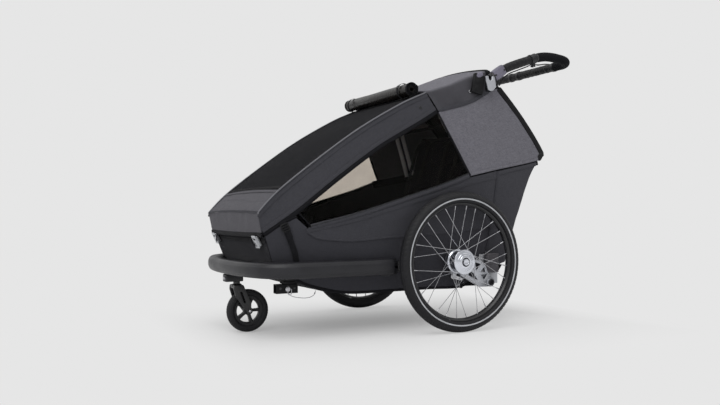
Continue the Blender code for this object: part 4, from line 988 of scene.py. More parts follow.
@dataclass
class SideFabric(OneSide):
    """One side of the body: panels, window, band and quarter panel with their edges."""

    outline: BodyOutline
    panel_top: Keys = ((-0.700, 0.356), (-0.650, 0.391), (-0.600, 0.414), (-0.556, 0.372), (-0.380, 0.414),
                       (-0.220, 0.461), (-0.050, 0.511), (0.071, 0.552), (0.200, 0.579))
    panel_bottom: Keys = ((-0.668, 0.262), (-0.635, 0.240), (-0.590, 0.209), (-0.530, 0.181), (-0.400, 0.153),
                          (-0.220, 0.152), (-0.070, 0.152), (0.070, 0.152), (0.158, 0.190))
    seam: Keys = ((-0.562, 0.369), (-0.526, 0.348), (-0.453, 0.338), (-0.377, 0.336), (-0.261, 0.344),
                  (-0.100, 0.352), (0.060, 0.362), (0.190, 0.378))
    window_sill: Keys = ((-0.549, 0.382), (-0.380, 0.422), (-0.220, 0.469), (-0.050, 0.519), (0.066, 0.559))
    window_top: Keys = ((-0.590, 0.432), (-0.437, 0.548), (-0.281, 0.655), (-0.117, 0.747), (-0.044, 0.791))
    window_fold: tuple[Point, Point] = ((0.0, -0.178, 0.47), (0.0, -0.228, 0.66))
    band_end: tuple[float, float] = (-0.078, 0.862)
    quarter_low: Keys = ((0.075, 0.559), (0.205, 0.586), (0.330, 0.608), (0.444, 0.630))
    quarter_top: Keys = ((-0.033, 0.792), (0.103, 0.832), (0.192, 0.878), (0.246, 0.902))
    quarter_rear: Keys = ((0.444, 0.630), (0.459, 0.648), (0.456, 0.668), (0.354, 0.787), (0.246, 0.902))
    quarter_fold: tuple[Point, Point] = ((0.0, 0.277, 0.595), (0.0, 0.2037, 0.8397))
    sill_inside: Keys = ((0.040, 0.5485), (0.205, 0.5825), (0.330, 0.604), (0.440, 0.626))
    strap_line: Keys = ((-0.645, 0.402), (-0.632, 0.368), (-0.616, 0.331), (-0.602, 0.296), (-0.592, 0.262))
    panel_thickness: float = 0.004
    window_thickness: float = 0.0014
    band_thickness: float = 0.003
    quarter_thickness: float = 0.003
    strap_width: float = 0.020
    strap_thickness: float = 0.0016

    def folding(self, name: str, shape: Shape, finish: Finish, fold: tuple[Point, Point],
                hides: Sequence[str] = (), slot: Slot | None = None) -> bpy.types.Object:
        """Add a fabric piece that rides on no body, with its place baked into its mesh."""
        item = self.piece(name, shape, finish, "", hides, slot=slot)
        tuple(fold[0])
        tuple(fold[1])
        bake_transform(item)
        return item

    def build(self) -> None:
        """Build every piece of this side."""
        self.build_panels()
        self.build_window()
        self.build_band()
        self.build_quarter()
        self.build_straps()

    def build_panels(self) -> None:
        """Build the side panel as two cloths that meet in a sewn seam."""
        columns, low_rows, high_rows = 145, 34, 20
        keys = np.linspace(0.0, 1.0, len(self.panel_top))
        spread = np.linspace(0.0, 1.0, columns)
        top, low = (np.column_stack([np.interp(spread, keys, column) for column in np.transpose(line)])
                    for line in (self.panel_top, self.panel_bottom))
        seam = smooth_line(self.seam, 200)
        split = top.copy()
        behind = top[:, 0] >= self.seam[0][0]
        split[behind, 1] = np.minimum(np.interp(top[behind, 0], *seam.T), top[behind, 1] - 0.0005)
        lower = self.outline.between(low, split, low_rows)
        near_seam = np.exp(-np.linspace(1.0, 0.0, low_rows)[:, None] / 0.10) * behind[None]
        inside = hump(np.linspace(-1, 1, low_rows)[:, None], 0.0, 1.0)
        relief = 0.0012 * ripples(lower[..., 1], lower[..., 2], 0.16, 11) * inside - 0.0022 * near_seam
        body = self.piece("side_panel_lower", cloth(lower, self.panel_thickness, relief), Finish.LOWER_CLOTH,
                          "chassis", ("side_panel",))
        first = int(np.argmax(behind))
        upper = self.outline.between(split[first:] + (0.0, 0.0004), top[first:], high_rows)
        y, z = upper[..., 1], upper[..., 2]
        inside = hump(np.linspace(-1, 1, high_rows)[:, None], 0.0, 1.0)
        folds = np.sin((y * 0.86 + z * 0.5) * 95.0) * smooth_step(-y, 0.30, 0.52)
        relief = inside * (0.0013 * ripples(y, z, 0.20, 12) + 0.0007 * folds) + 0.0004
        cover = self.piece("side_panel_upper", cloth(upper, self.panel_thickness, relief), Finish.BODY_CLOTH,
                           "chassis")
        edge = tape(line_on(upper, row=0.0, lift=0.0008), 0.0075, 0.0012, 0.0030).joined(
            stitches(line_on(upper, row=0.0, lift=0.0016), 0.0052))
        hem, thread = (line_on(upper, row=0.90, lift=lift) for lift in (0.0010, 0.0019))
        on_cover = [self.piece(name, shape, finish, "chassis") for name, shape, finish in (
            ("side_seam", edge, Finish.BODY_CLOTH), ("sill_hem", tape(hem, 0.015, 0.0014), Finish.BODY_CLOTH),
            ("sill_stitching", stitches(thread, 0.0055, -0.0055), Finish.THREAD))]
        lip = self.outline.on_side(top[:int(np.argmax(top[:, 0] > -0.60)) + 1])
        foot = self.outline.on_side(smooth_line(self.panel_bottom, 90))
        on_body = [self.piece(name, sweep(line, box_section(*section), up), Finish.BINDING, "chassis")
                   for name, line, section, up in (
                       ("front_binding", lip, (0.0050, 0.009, 0.0022), (0.3, -0.4, 1.0)),
                       ("foot_binding", foot, (0.0055, 0.010, 0.0024), (0.2, 0.0, 1.0)))]
        declare_sheet(body, lower, on_body[::-1])
        declare_sheet(cover, upper, on_cover)

    def build_window(self) -> None:
        """Build the smoked film window with its fabric frame and its zip."""
        columns, rows = 97, 34
        grid = self.outline.between(smooth_line(self.window_sill, columns),
                                    smooth_line(self.window_top, columns), rows)
        u, v = shares(columns, rows)
        bow = 4 * v * (1 - v) * np.sin(math.pi * u) ** 0.5
        relief = 0.0010 * bow + 0.0005 * ripples(grid[..., 1], grid[..., 2], 0.26, 21, 4) * bow
        film = self.folding("window_film", cloth(grid, self.window_thickness, relief), Finish.SMOKE_FILM,
                            self.window_fold, ("side_window",))
        rear, rear_normal = line_on(grid, column=1.0, lift=0.0010)
        parts = []
        for name, line, width, finish in (
                ("lower", line_on(grid, row=0.0, lift=0.0010), 0.0165, Finish.BODY_CLOTH),
                ("upper", line_on(grid, row=1.0, lift=0.0010), 0.008, Finish.BINDING),
                ("rear", (rear + (0.0, 0.005, 0.0), rear_normal), 0.009, Finish.BINDING),
                ("front", line_on(grid, column=0.0, lift=0.0010), 0.004, Finish.BINDING)):
            parts.append(self.folding("window_frame_" + name, sewn(line, width, 0.0040, width * 0.32, 0.0022),
                                      finish, self.window_fold, slot=Slot.DARK_FABRIC))
        teeth = zip_teeth(line_on(grid, row=0.035, lift=0.0035), 0.0030, (0.0017, 0.0048, 0.0016))
        parts.append(self.folding("window_zip", teeth, Finish.DARK_PLASTIC, self.window_fold))
        declare_sheet(film, grid, parts)

    def build_band(self) -> None:
        """Build the band from the nose up along the rail: hems, piping, lower edge and press studs."""
        columns, rows = 121, 22
        high_keys = [*self.outline.hood[1:3], *self.outline.rail[:4], self.band_end]
        grid = self.outline.between(smooth_line(self.outline.band_lower, columns),
                                    smooth_line(high_keys, columns), rows)
        grid[-1, :, 0] = self.outline.crest_half
        u, v = shares(columns, rows)
        folds = np.sin(u * 46 + v * 5) * smooth_step(u, 0.0, 0.06) * (1 - smooth_step(u, 0.16, 0.34))
        relief = 4 * v * (1 - v) * (0.0011 * ripples(grid[..., 1], grid[..., 2], 0.15, 31) + 0.0007 * folds)
        band = self.piece("band_cloth", cloth(grid, self.band_thickness, relief), Finish.BODY_CLOTH,
                          "upper_body", ("side_band",))
        hems = tape(line_on(grid, row=0.13, lift=0.0012), 0.014, 0.0013).joined(
            tape(line_on(grid, row=0.86, lift=0.0012), 0.011, 0.0013))
        rows_sewn = stitches(line_on(grid, row=0.13, lift=0.0020), 0.0050, -0.0050).joined(
            stitches(line_on(grid, row=0.86, lift=0.0020), -0.0038))
        # The crest piping is a real cord; its pale colour is a painted highlight along the crest.
        crest = sweep(line_on(grid, row=1.0)[0] + (0.0006, 0.0, 0.0012), oval(0.0052, 0.0052, 10),
                      (0.0, -0.5, 1.0))
        skirt = tape(line_on(grid, row=0.0, lift=-0.0005), 0.0150, 0.0040, 0.0030)
        parts = [self.piece(name, shape, finish, "upper_body") for name, shape, finish in (
            ("band_hems", hems, Finish.BODY_CLOTH), ("band_stitching", rows_sewn, Finish.THREAD),
            ("crest_piping", crest, Finish.PIPING), ("band_binding", skirt, Finish.BINDING))]
        declare_sheet(band, grid, parts)
        spot, normal = line_on(grid, row=0.5)
        self.snap("band_snap", spot[-9], normal[-9], Finish.DARK_PLASTIC)
        self.snap("roof_snap", np.array([0.3030, 0.1078, 0.8776]), unit(np.array([1.0, 0.02, 0.16])),
                  Finish.STEEL)

    def snap(self, name: str, spot: Array, normal: Array, finish: Finish) -> None:
        """Build a press stud: a turned cap with a rolled rim and a dimple."""
        stud = lathe([(0.0, 0.0016), (0.0022, 0.0015), (0.0030, 0.0021), (0.0048, 0.0022), (0.0060, 0.0014),
                      (0.0063, 0.0002), (0.0060, -0.0012), (0.0, -0.0012)], 28)
        self.piece(name, copies(stud, spot[None], normal[None], np.array([[0.0, 0.3, 1.0]])), finish,
                   "upper_body", slot=Slot.DARK_PLASTIC)

    def build_quarter(self) -> None:
        """Build the knitted quarter panel behind the window, with its sewn edges and the sill's lining."""
        columns, rows = 61, 49
        grid = self.outline.between(smooth_line(self.quarter_low, columns),
                                    smooth_line(self.quarter_top, columns), rows, self.quarter_rear)
        u, v = shares(columns, rows)
        inside = np.sin(math.pi * u) ** 0.6 * np.sin(math.pi * v) ** 0.6
        pulls = np.sin((u * 0.4 - v) * 26) * smooth_step(u, 0.55, 0.95)
        relief = inside * (0.0015 * ripples(grid[..., 1], grid[..., 2], 0.18, 41) + 0.0008 * pulls + 0.0010)
        panel = self.folding("quarter_cloth", cloth(grid, self.quarter_thickness, relief), Finish.MELANGE,
                             self.quarter_fold, ("quarter_panel",))
        edges = []
        for name, line, width, finish in (
                ("front", line_on(grid, column=0.012, lift=0.0016), 0.013, Finish.MELANGE),
                ("rear", line_on(grid, column=0.985, lift=0.0016), 0.012, Finish.BINDING),
                ("low", line_on(grid, row=0.02, lift=0.0016), 0.011, Finish.MELANGE)):
            edges.append(self.folding("quarter_edge_" + name, sewn(line, width, 0.0016, width * 0.3), finish,
                                      self.quarter_fold, slot=Slot.DARK_FABRIC))
        trim, normal = line_on(grid, column=1.0)
        across = unit(np.cross(np.gradient(trim, axis=0), normal))
        trim = trim - across * 0.004
        corner = tape((trim - normal * 0.019, across), 0.036, 0.0015)
        edges += [self.folding("rear_trim",
                               sweep(trim, box_section(0.024, 0.0075, 0.0035), normal, rounding=0.006),
                               Finish.BLACK_RUBBER, self.quarter_fold),
                  self.folding("rear_lining", corner, Finish.BINDING, self.quarter_fold)]
        sill = self.outline.on_side(smooth_line(self.sill_inside, 60)) - (0.005, 0.0, 0.0)
        self.piece("sill_lining", tape((sill, np.tile([1.0, 0.0, 0.0], (60, 1))), 0.032, 0.0015),
                   Finish.BINDING, "chassis")
        declare_sheet(panel, grid, edges)

    def build_straps(self) -> None:
        """Build the webbing strap that holds the nose down, with its ladder buckle."""
        count = 40
        points = self.outline.on_side(smooth_line(self.strap_line, count)) + (0.0042, 0.0, 0.0)
        points[:, 0] += 0.0012 * np.sin(np.linspace(0, math.pi, count))
        normal = np.tile([0.99, -0.10, -0.08], (count, 1))
        tail = points[4:16] + (0.0030, 0.004, -0.004)
        strap = tape((points, unit(normal)), self.strap_width, self.strap_thickness).joined(
            tape((tail, unit(normal[4:16])), self.strap_width * 0.92, 0.0015))
        self.piece("nose_strap", strap, Finish.WEBBING, "chassis")
        ring = sweep(np.pad(eased([(-0.012, -0.0125), (0.012, -0.0125), (0.012, 0.0125), (-0.012, 0.0125)],
                                  0.004), ((0, 0), (0, 1))), oval(0.0045, 0.0036, 8), (0, 0, 1), closed=True)
        bars = joined([block((0.0040, 0.024, 0.0032), 0.0012, 3).moved(x=x) for x in (-0.004, 0.004)])
        buckle = copies(ring.joined(bars), points[6:7] + (0.0028, 0, 0), (points[7] - points[6])[None],
                        normal[:1])
        self.piece("strap_buckle", buckle, Finish.BLACK_RUBBER, "chassis", slot=Slot.DARK_PLASTIC)


@dataclass
class TopFabric:
    """The cloths that run from side to side: hood, screen, roof, flap, rear and floor."""

    outline: BodyOutline
    half: float = 0.2865
    screen_crown: float = 0.018
    roof_crown: float = 0.024
    screen_end: tuple[float, float] = (-0.080, 0.862)
    roof_start: tuple[float, float] = (-0.073, 0.866)
    cloth_thickness: float = 0.003
    mesh_thickness: float = 0.0015
    thick_cloth: float = 0.004
    flap_fold: tuple[Point, Point] = ((0.0, 0.514, 0.630), (0.0, 0.290, 0.955))
    cover_foot: Point = (0.0, 0.350, 0.205)
    cover_front: Keys = ((0.166, 0.204), (0.206, 0.579))
    corner_radius: float = 0.012

    def build(self) -> None:
        """Build every cross panel."""
        self.build_hood()
        self.build_screen()
        self.build_roof()
        self.build_rear_flap()
        self.build_rear_panel()
        self.build_floor()

    def build_hood(self) -> None:
        """Build the nose hood with a soft crease across it, its hem and its elastic lip."""
        rows, columns = 64, 121
        grid = self.outline.across(self.outline.hood, rows, columns, self.half, 0.008)
        u, v = shares(columns, rows, -1)
        inside = (1 - u ** 6) * np.sin(math.pi * v) ** 0.4
        crease = hump(v + 0.035 * np.sin(u * 3.1), 0.70, 0.045)
        relief = inside * (0.0013 * ripples(grid[..., 0], v * 0.2, 0.17, 51) - 0.0022 * crease
                           + 0.0011 * hump(v, 0.76, 0.05) + 0.0010 * np.sin(u * 21) * hump(v, 0.30, 0.3))
        hood = add_piece("hood_cloth", cloth(grid, self.cloth_thickness, relief), Finish.HOOD_CLOTH,
                         "upper_body", ("nose_hood",))
        hem = line_on(grid, row=0.955, lift=0.0012)
        lip = sweep(line_on(grid, row=0.0)[0], box_section(0.0065, 0.016, 0.003), (0.0, -0.2, 1.0))
        parts = [add_piece(name, shape, finish, "upper_body") for name, shape, finish in (
            ("hood_hem", tape(hem, 0.014, 0.0014), Finish.HOOD_CLOTH),
            ("hood_stitching", stitches(raised(hem, 0.0010), 0.005, -0.005), Finish.THREAD),
            ("hood_lip", lip, Finish.BINDING),
            ("hood_front_seam", sewn(line_on(grid, row=0.42, lift=0.0010), 0.008, 0.0013), Finish.BODY_CLOTH))]
        declare_sheet(hood, grid, parts)

    def build_screen(self) -> None:
        """Build the mesh screen: a parabola across, highest a third of the way up."""
        rows, columns = 73, 97
        t = np.linspace(0, 1, rows)
        rise = np.clip(np.sin(math.pi * np.minimum(1.0, t * 1.35) ** 0.8), 0.15, 1.0)
        grid = self.outline.across([*self.outline.rail[:4], self.screen_end], rows, columns, self.half,
                                   self.screen_crown, rise)
        u, v = shares(columns, rows, -1)
        relief = (1 - u ** 4) * np.sin(math.pi * v) ** 0.5 * 0.0014
        relief = relief * ripples(grid[..., 0], v * 0.66, 0.24, 61, 5)
        screen = add_piece("screen_cloth", cloth(grid, self.mesh_thickness, relief), Finish.SCREEN,
                           "upper_body", ("front_screen",))
        parts = [add_piece("screen_binding_" + name,
                           sewn(line_on(grid, lift=0.0012, **place), 0.013, 0.0016, lift=0.0012),
                           Finish.BINDING, "upper_body")
                 for name, place in (("left", {"column": 0.985}), ("right", {"column": 0.015}),
                                     ("foot", {"row": 0.014}))]
        declare_sheet(screen, grid, parts)

    def build_roof(self) -> None:
        """Build the roof, which bends over the rails down both sides, with its hems and edges."""
        rows, columns, side_columns = 61, 61, 15
        top = smooth_line([self.roof_start, *self.outline.rail[5:]], rows)
        low = smooth_line(self.outline.roof_lower, rows)
        drop = np.linspace(0.0, 1.0, side_columns)[:-1]
        side = self.outline.on_side(low[:, None] + (top - low)[:, None] * drop[None, :, None])
        side[..., 0] += 0.001
        x = np.linspace(1.0, -1.0, columns)
        crown = np.stack([np.broadcast_to(x * self.outline.crest_half, (rows, columns)),
                          np.repeat(top[:, :1], columns, 1),
                          top[:, 1:] + self.roof_crown * (1 - x ** 2)[None]], axis=-1)
        soft = np.concatenate([side, crown, (side * (-1, 1, 1))[:, ::-1]], axis=1)
        for _ in range(3):
            soft[:, 1:-1] = (soft[:, :-2] + 2 * soft[:, 1:-1] + soft[:, 2:]) / 4
        grid = soft[:, ::-1].copy()
        v = np.linspace(0, 1, rows)[:, None] * np.ones(grid.shape[1])
        relief = np.sin(math.pi * v) ** 0.5 * 0.0011 * ripples(grid[..., 0], grid[..., 1], 0.21, 71)
        relief += 0.0010 * hump(v, 0.5, 0.10)
        roof = add_piece("roof_cloth", cloth(grid, self.cloth_thickness, relief), Finish.ROOF_CLOTH,
                         "upper_body", ("roof",))
        parts = [add_piece("roof_hem_" + name,
                           sewn(line_on(grid, row=share, lift=0.0013), width, 0.0015, 0.005),
                           finish, "upper_body", slot=Slot.LIGHT_FABRIC)
                 for name, share, width, finish in (("front", 0.022, 0.015, Finish.ROOF_CLOTH),
                                                    ("rear", 0.975, 0.016, Finish.BINDING))]
        parts += [add_piece("roof_edge_" + label, tape(line_on(grid, column=share, lift=0.0002), 0.016, 0.0034),
                            Finish.BODY_CLOTH, "upper_body")
                  for label, share in (("left", 1.0), ("right", 0.0))]
        declare_sheet(roof, grid, parts)

    def build_rear_flap(self) -> None:
        """Build the flap that closes the rear slope, with a mesh vent and its zips."""
        rows, columns = 85, 97
        grid = self.outline.across(self.outline.rear_slope, rows, columns, self.half, 0.006)
        u, v = shares(columns, rows, -1)
        relief = (1 - u ** 6) * np.sin(math.pi * v) ** 0.5 * 0.0013 * ripples(grid[..., 0], v * 0.45, 0.20, 81)
        flap = add_piece("rear_flap_cloth", cloth(grid, self.cloth_thickness, relief), Finish.FRONT_CLOTH,
                         "", ("rear_flap",))
        vent = grid[int(0.14 * (rows - 1)):int(0.62 * (rows - 1)), 16:-16]
        net = vent + normals_of(vent) * 0.0022
        edges = [line_on(net, lift=0.0008, **{way: share}) for way in ("row", "column") for share in (0.0, 1.0)]
        mesh = add_piece("rear_vent", cloth(net, 0.0010), Finish.SCREEN)
        border = add_piece("rear_vent_binding", joined([tape(edge, 0.012, 0.0016) for edge in edges]),
                           Finish.BINDING)
        sides = [line_on(grid, column=share, lift=0.0012) for share in (0.05, 0.95)]
        teeth = [zip_teeth(line, 0.0032, (0.0018, 0.0050, 0.0016), 0.0012) for line in sides]
        on_flap = [add_piece("rear_zip_tape", joined([tape(line, 0.016, 0.0014) for line in sides]),
                             Finish.BINDING),
                   add_piece("rear_zip_teeth", joined(teeth), Finish.DARK_PLASTIC),
                   add_piece("roof_end_flap", tape(line_on(grid, row=0.03, lift=0.0030), 0.034, 0.0026),
                             Finish.BINDING)]
        for item in [flap, mesh, border, *on_flap]:
            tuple(self.flap_fold[0])
            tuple(self.flap_fold[1])
            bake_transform(item)
        declare_sheet(mesh, vent, [border])
        declare_sheet(flap, grid, on_flap)

    def build_rear_panel(self) -> None:
        """Build the lower rear cover, which wraps round both sides in one cloth."""
        rows, back_columns = 57, 25
        rear = smooth_line(self.outline.rear_lower, rows)[::-1]
        t = np.linspace(0, 1, rows)[:, None]
        foot, head = np.array(self.cover_front)
        front = foot * (1 - t) + head * t
        share = np.linspace(0, 1, 26)[None, :, None]
        run = rear - (self.corner_radius, 0.0) - front
        side = self.outline.on_side(front[:, None] + run[:, None] * share)
        corner = side[:, -1, 0] - self.corner_radius
        bend = np.array([(0.60, 0.008), (0.25, 0.0108)])
        turn = np.stack([corner[:, None] + self.corner_radius * bend[None, :, 0],
                         rear[:, :1] - self.corner_radius + bend[None, :, 1], np.repeat(rear[:, 1:], 2, 1)],
                        axis=-1)
        x = np.linspace(1.0, 0.0, back_columns)[None]
        back = np.stack([corner[:, None] * x, rear[:, :1] + 0.005 * (1 - x ** 2),
                         np.repeat(rear[:, 1:], back_columns, 1)], -1)
        half = np.concatenate([side, turn, back], axis=1)
        grid = np.concatenate([half, (half * (-1, 1, 1))[:, -2::-1]], axis=1)
        rough = ripples(grid[..., 0] + grid[..., 1], grid[..., 2], 0.19, 91)
        cover = add_piece("rear_cover_cloth",
                          cloth(grid, self.thick_cloth, np.sin(math.pi * t) ** 0.5 * 0.0012 * rough),
                          Finish.BODY_CLOTH, "chassis", ("rear_panel",))
        pocket = tuple(part[30:-30] for part in line_on(grid, row=0.55, lift=0.0012))
        wedges = [tape(line_on(grid, column=end, lift=0.0010), 0.011, 0.0045) for end in (0.0, 1.0)]
        top, low = (sewn(line_on(grid, row=at, lift=0.0012), 0.014, 0.0015, 0.004) for at in (0.975, 0.02))
        parts = [add_piece(name, shape, finish, "chassis") for name, shape, finish in (
            ("rear_hem_top", top, Finish.BODY_CLOTH), ("rear_hem_foot", low, Finish.BODY_CLOTH),
            ("rear_wedge_seams", joined(wedges), Finish.LOWER_CLOTH),
            ("rear_pocket_hem", tape(pocket, 0.016, 0.0018), Finish.BINDING))]
        declare_sheet(cover, grid, parts)
        for item in [cover, *parts]:
            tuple(self.cover_foot)
            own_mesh(item)

    def build_floor(self) -> None:
        """Build the floor and front sheet as one cloth, with its ledge and two seams."""
        rows, columns = 121, 61
        grid = self.outline.across(self.outline.belly, rows, columns)[:, ::-1].copy()
        u, v = shares(columns, rows, -1)
        relief = (1 - u ** 6) * np.sin(math.pi * v) ** 0.3 * 0.0014 * ripples(grid[..., 0], v * 1.1, 0.22, 101)
        floor = add_piece("floor_cloth", cloth(grid, self.thick_cloth, relief), Finish.FRONT_CLOTH, "chassis",
                          ("floor_pan",))
        seams = [sewn(line_on(grid, row=share, lift=0.0012), 0.008, 0.0014) for share in (0.10, 0.165)]
        parts = [add_piece("front_ledge", tape(line_on(grid, row=0.012, lift=0.0015), 0.016, 0.0040),
                           Finish.BINDING, "chassis"),
                 add_piece("front_seams", joined(seams), Finish.FRONT_CLOTH, "chassis")]
        declare_sheet(floor, grid, parts)


@dataclass
class RainCover:
    """The clear rain cover rolled up and strapped on top of the screen."""

    centre: tuple[float, float] = (-0.122, 0.8770)
    radius: float = 0.0262
    core: float = 0.0075
    half_length: float = 0.262
    skew: float = 0.010
    turns: float = 7.0
    film: float = 0.0011
    strap_x: float = 0.205

    def ring(self, angle: Array, radius: Array | float, x: Array, aside: Array | float = 0.0) -> Array:
        """Return points round the roll's axis; aside moves them along Y, and a part of that along Z."""
        return np.stack(np.broadcast_arrays(x, self.centre[0] + aside + radius * np.cos(angle),
                                            self.centre[1] + aside * 0.6 + radius * np.sin(angle)), axis=-1)

    def outward(self, line: Array) -> Array:
        """Return directions away from the roll's axis."""
        return unit((line - (0.0, *self.centre)) * (0.0, 1.0, 1.0))

    def build(self) -> None:
        """Build the rolled film, its end bindings and its two straps."""
        angle = np.linspace(0.0, FULL_TURN * self.turns, 210)
        reach = self.core + (self.radius - self.core - 0.0006) * angle / angle[-1]
        x = np.linspace(-self.half_length, self.half_length, 61)
        rough = ripples(x[None, :], angle[:, None] * 0.01, 0.30, 111, 5)
        slack = 1 + 0.030 * rough * smooth_step(angle, 30, 44)[:, None]
        radius = np.minimum(reach[:, None] * slack, self.radius)
        lean = 0.6 + 0.10 * np.sin(x * 9.0)[None, :]
        aside = self.skew * smooth_step(-x, 0.0, self.half_length)[None]
        grid = self.ring(angle[:, None] + lean, radius, x, aside)
        roll = add_piece("rolled_film", cloth(grid[:, ::-1].copy(), self.film), Finish.ROLLED_FILM,
                         "upper_body", ("rain_cover_roll",))
        last_turn = 46
        parts = []
        for label, column in (("left", -1), ("right", 0)):
            outer, inner = grid[-last_turn:, column], grid[60:-last_turn:3, column]
            edge = tape(raised((outer, self.outward(outer)), 0.0005), 0.011, 0.0016).joined(
                tape((inner, self.outward(inner)), 0.006, 0.0013))
            parts.append(add_piece("roll_binding_" + label, edge, Finish.BINDING, "upper_body"))
        declare_sheet(roll, grid, parts)
        turn = np.linspace(0, FULL_TURN, 49)[:-1]
        buckle_reach = self.radius + 0.0035
        for label, x_at in (("left", self.strap_x), ("right", -self.strap_x)):
            ring = self.ring(turn, self.radius + 0.0018, x_at)
            strap = sweep(ring, box_section(0.012, 0.0012, 0.0005, 3), self.outward(ring), closed=True)
            hook = block((0.014, 0.012, 0.0030), 0.0012).turned(62.0, "X")
            hook = hook.moved(x_at, self.centre[0] - buckle_reach * 0.88, self.centre[1] + buckle_reach * 0.47)
            add_piece("roll_strap_" + label, strap, Finish.WEBBING, "upper_body")
            add_piece("roll_buckle_" + label, hook, Finish.DARK_PLASTIC, "upper_body")


@dataclass
class Seat:
    """The two-seat bench: padded cushion and backrest, and a harness for each child."""

    cushion_size: Point = (0.500, 0.300, 0.040)
    back_size: Point = (0.466, 0.420, 0.036)
    cushion_place: Point = (0.0, -0.020, 0.300)
    back_place: Point = (0.0, 0.175, 0.560)
    seat_x: float = 0.118
    strap: float = 0.025
    # Share of the strap's distance from its seat's middle, Y and Z.
    shoulder: Keys = ((1, 0.212, 0.735), (1, 0.170, 0.712), (1, 0.135, 0.625), (0.8, 0.100, 0.520),
                      (0.35, 0.066, 0.430))
    hip: Keys = ((2.1, 0.115, 0.345), (1.6, 0.080, 0.375), (0.35, 0.062, 0.415))

    def pad(self, name: str, size: Point, crown: float, channels: int, tilt: float,
            place: Point) -> bpy.types.Object:
        """Build a padded piece: crowned top, drawn-in sides, flat underside, sewn channels.

        Args:
            name: the piece and the node that it replaces.
            size: width, depth and height.
            crown: height of the top's middle over its edge.
            channels: number of sewn rolls.
            tilt: turn about X in degrees.
            place: where its middle goes.

        Returns:
            The piece.
        """
        width, depth, height = size
        rows, columns = 49, 61
        u, v = np.meshgrid(np.linspace(-1, 1, columns), np.linspace(-1, 1, rows))
        edge = (1 - np.abs(u) ** 6) * (1 - np.abs(v) ** 6)
        top = height * 0.38 + edge * crown * 0.80 * (1 - 0.25 * u ** 2)
        flat_x = u * (1.0 - 0.025 * (1 - v ** 2) * np.abs(u) ** 3) * (width / 2 - 0.004)
        flat_y = v * (1.0 - 0.035 * (1 - u ** 2) * np.abs(v) ** 3) * (depth / 2 - 0.004)
        upper = np.stack([flat_x, flat_y, top], axis=-1)
        lower = np.stack([flat_x * 0.985, flat_y * 0.985, np.full_like(top, -height * 0.42)], axis=-1)
        shape = grid_shape(upper).joined(grid_shape(lower).flipped())
        rim, ahead = rim_of(rows, columns)
        count = rows * columns
        shape.faces.append(np.stack([rim, rim + count, ahead + count, ahead], axis=1))
        shape.uvs.append(np.zeros((len(rim), 4, 2)))
        item = add_piece(name + "_pad", shape.moved(y=-AXLE_Y), Finish.PAD_CLOTH, "", (name,), PAD_CREASE)
        swell(item, 0.0055, 0.012)
        points = points_of(item.data)
        across, along = points[:, 0] / (width / 2), points[:, 1] / (depth / 2)
        groove = np.abs(np.cos(math.pi * channels * (along + 1) / 2))
        sewn_area = (1 - np.abs(across) ** 8) * (points[:, 2] > 0) * (np.abs(along) < 0.97)
        points[:, 2] -= 0.0065 * np.exp(-(groove / 0.16) ** 2) * sewn_area
        points = points @ np.array(Matrix.Rotation(math.radians(tilt), 3, "X")).T + place + (0.0, AXLE_Y, 0.0)
        item.data.vertices.foreach_set("co", points.ravel())
        item.data.update()
        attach(item, "chassis")
        return item

    def build(self) -> None:
        """Build the pads and the harnesses."""
        self.pad("seat_cushion", self.cushion_size, 0.022, 3, -6.0, self.cushion_place)
        soft = [self.pad("seat_back", self.back_size, 0.020, 4, 72.0, self.back_place)]
        for label, side in SIDES:
            middle = side * self.seat_x
            straps = []
            for shift in (-0.045, 0.045):
                for keys, count, normal in ((self.shoulder, 40, (0.0, -0.94, 0.34)),
                                            (self.hip, 24, (0.0, -0.7, 0.7))):
                    line = smooth_line([(middle + shift * part, y, z) for part, y, z in keys], count)
                    straps.append(tape((line, np.tile(normal, (count, 1))), self.strap, 0.0018))
            soft.append(add_piece("harness_" + label, joined(straps), Finish.WEBBING, "chassis"))
            button = block((0.024, 0.014, 0.006), 0.002).moved(z=0.009)
            buckle = block((0.050, 0.042, 0.014), 0.006).joined(button)
            buckle = buckle.turned(70.0, "X").moved(middle, 0.056, 0.418)
            soft.append(add_piece("harness_buckle_" + label, buckle, Finish.DARK_PLASTIC, "chassis"))
        for item in soft:
            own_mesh(item)


def swell(item: bpy.types.Object, voxel: float, limit: float) -> None:
    """Inflate a pad with the cloth simulation, and keep every point within limit of its start."""
    materials, last_frame = list(item.data.materials), 20
    remesh = item.modifiers.new("even", "REMESH")
    remesh.mode, remesh.voxel_size, remesh.use_smooth_shade = "VOXEL", voxel, True
    item.data = evaluated(item)
    item.modifiers.clear()
    start = points_of(item.data)
    soft = item.modifiers.new("air", "CLOTH")
    soft.settings.use_pressure = True
    soft.settings.uniform_pressure_force = 4.0
    soft.settings.effector_weights.gravity = 0.0
    soft.point_cache.frame_start, soft.point_cache.frame_end = 1, last_frame
    for step in range(1, last_frame + 1):
        bpy.context.scene.frame_set(step)
    swollen = evaluated(item)
    item.modifiers.clear()
    bpy.context.scene.frame_set(1)
    move = points_of(swollen) - start
    far = np.linalg.norm(move, axis=1, keepdims=True)
    move *= np.minimum(1.0, limit / np.maximum(far, 1e-9))
    swollen.vertices.foreach_set("co", (start + move).ravel())
    item.data = swollen
    finer = item.modifiers.new("finer", "SUBSURF")
    finer.levels = finer.render_levels = 1
    item.data = evaluated(item)
    item.modifiers.clear()
    item.data.materials.clear()
    for material in materials:
        item.data.materials.append(material)


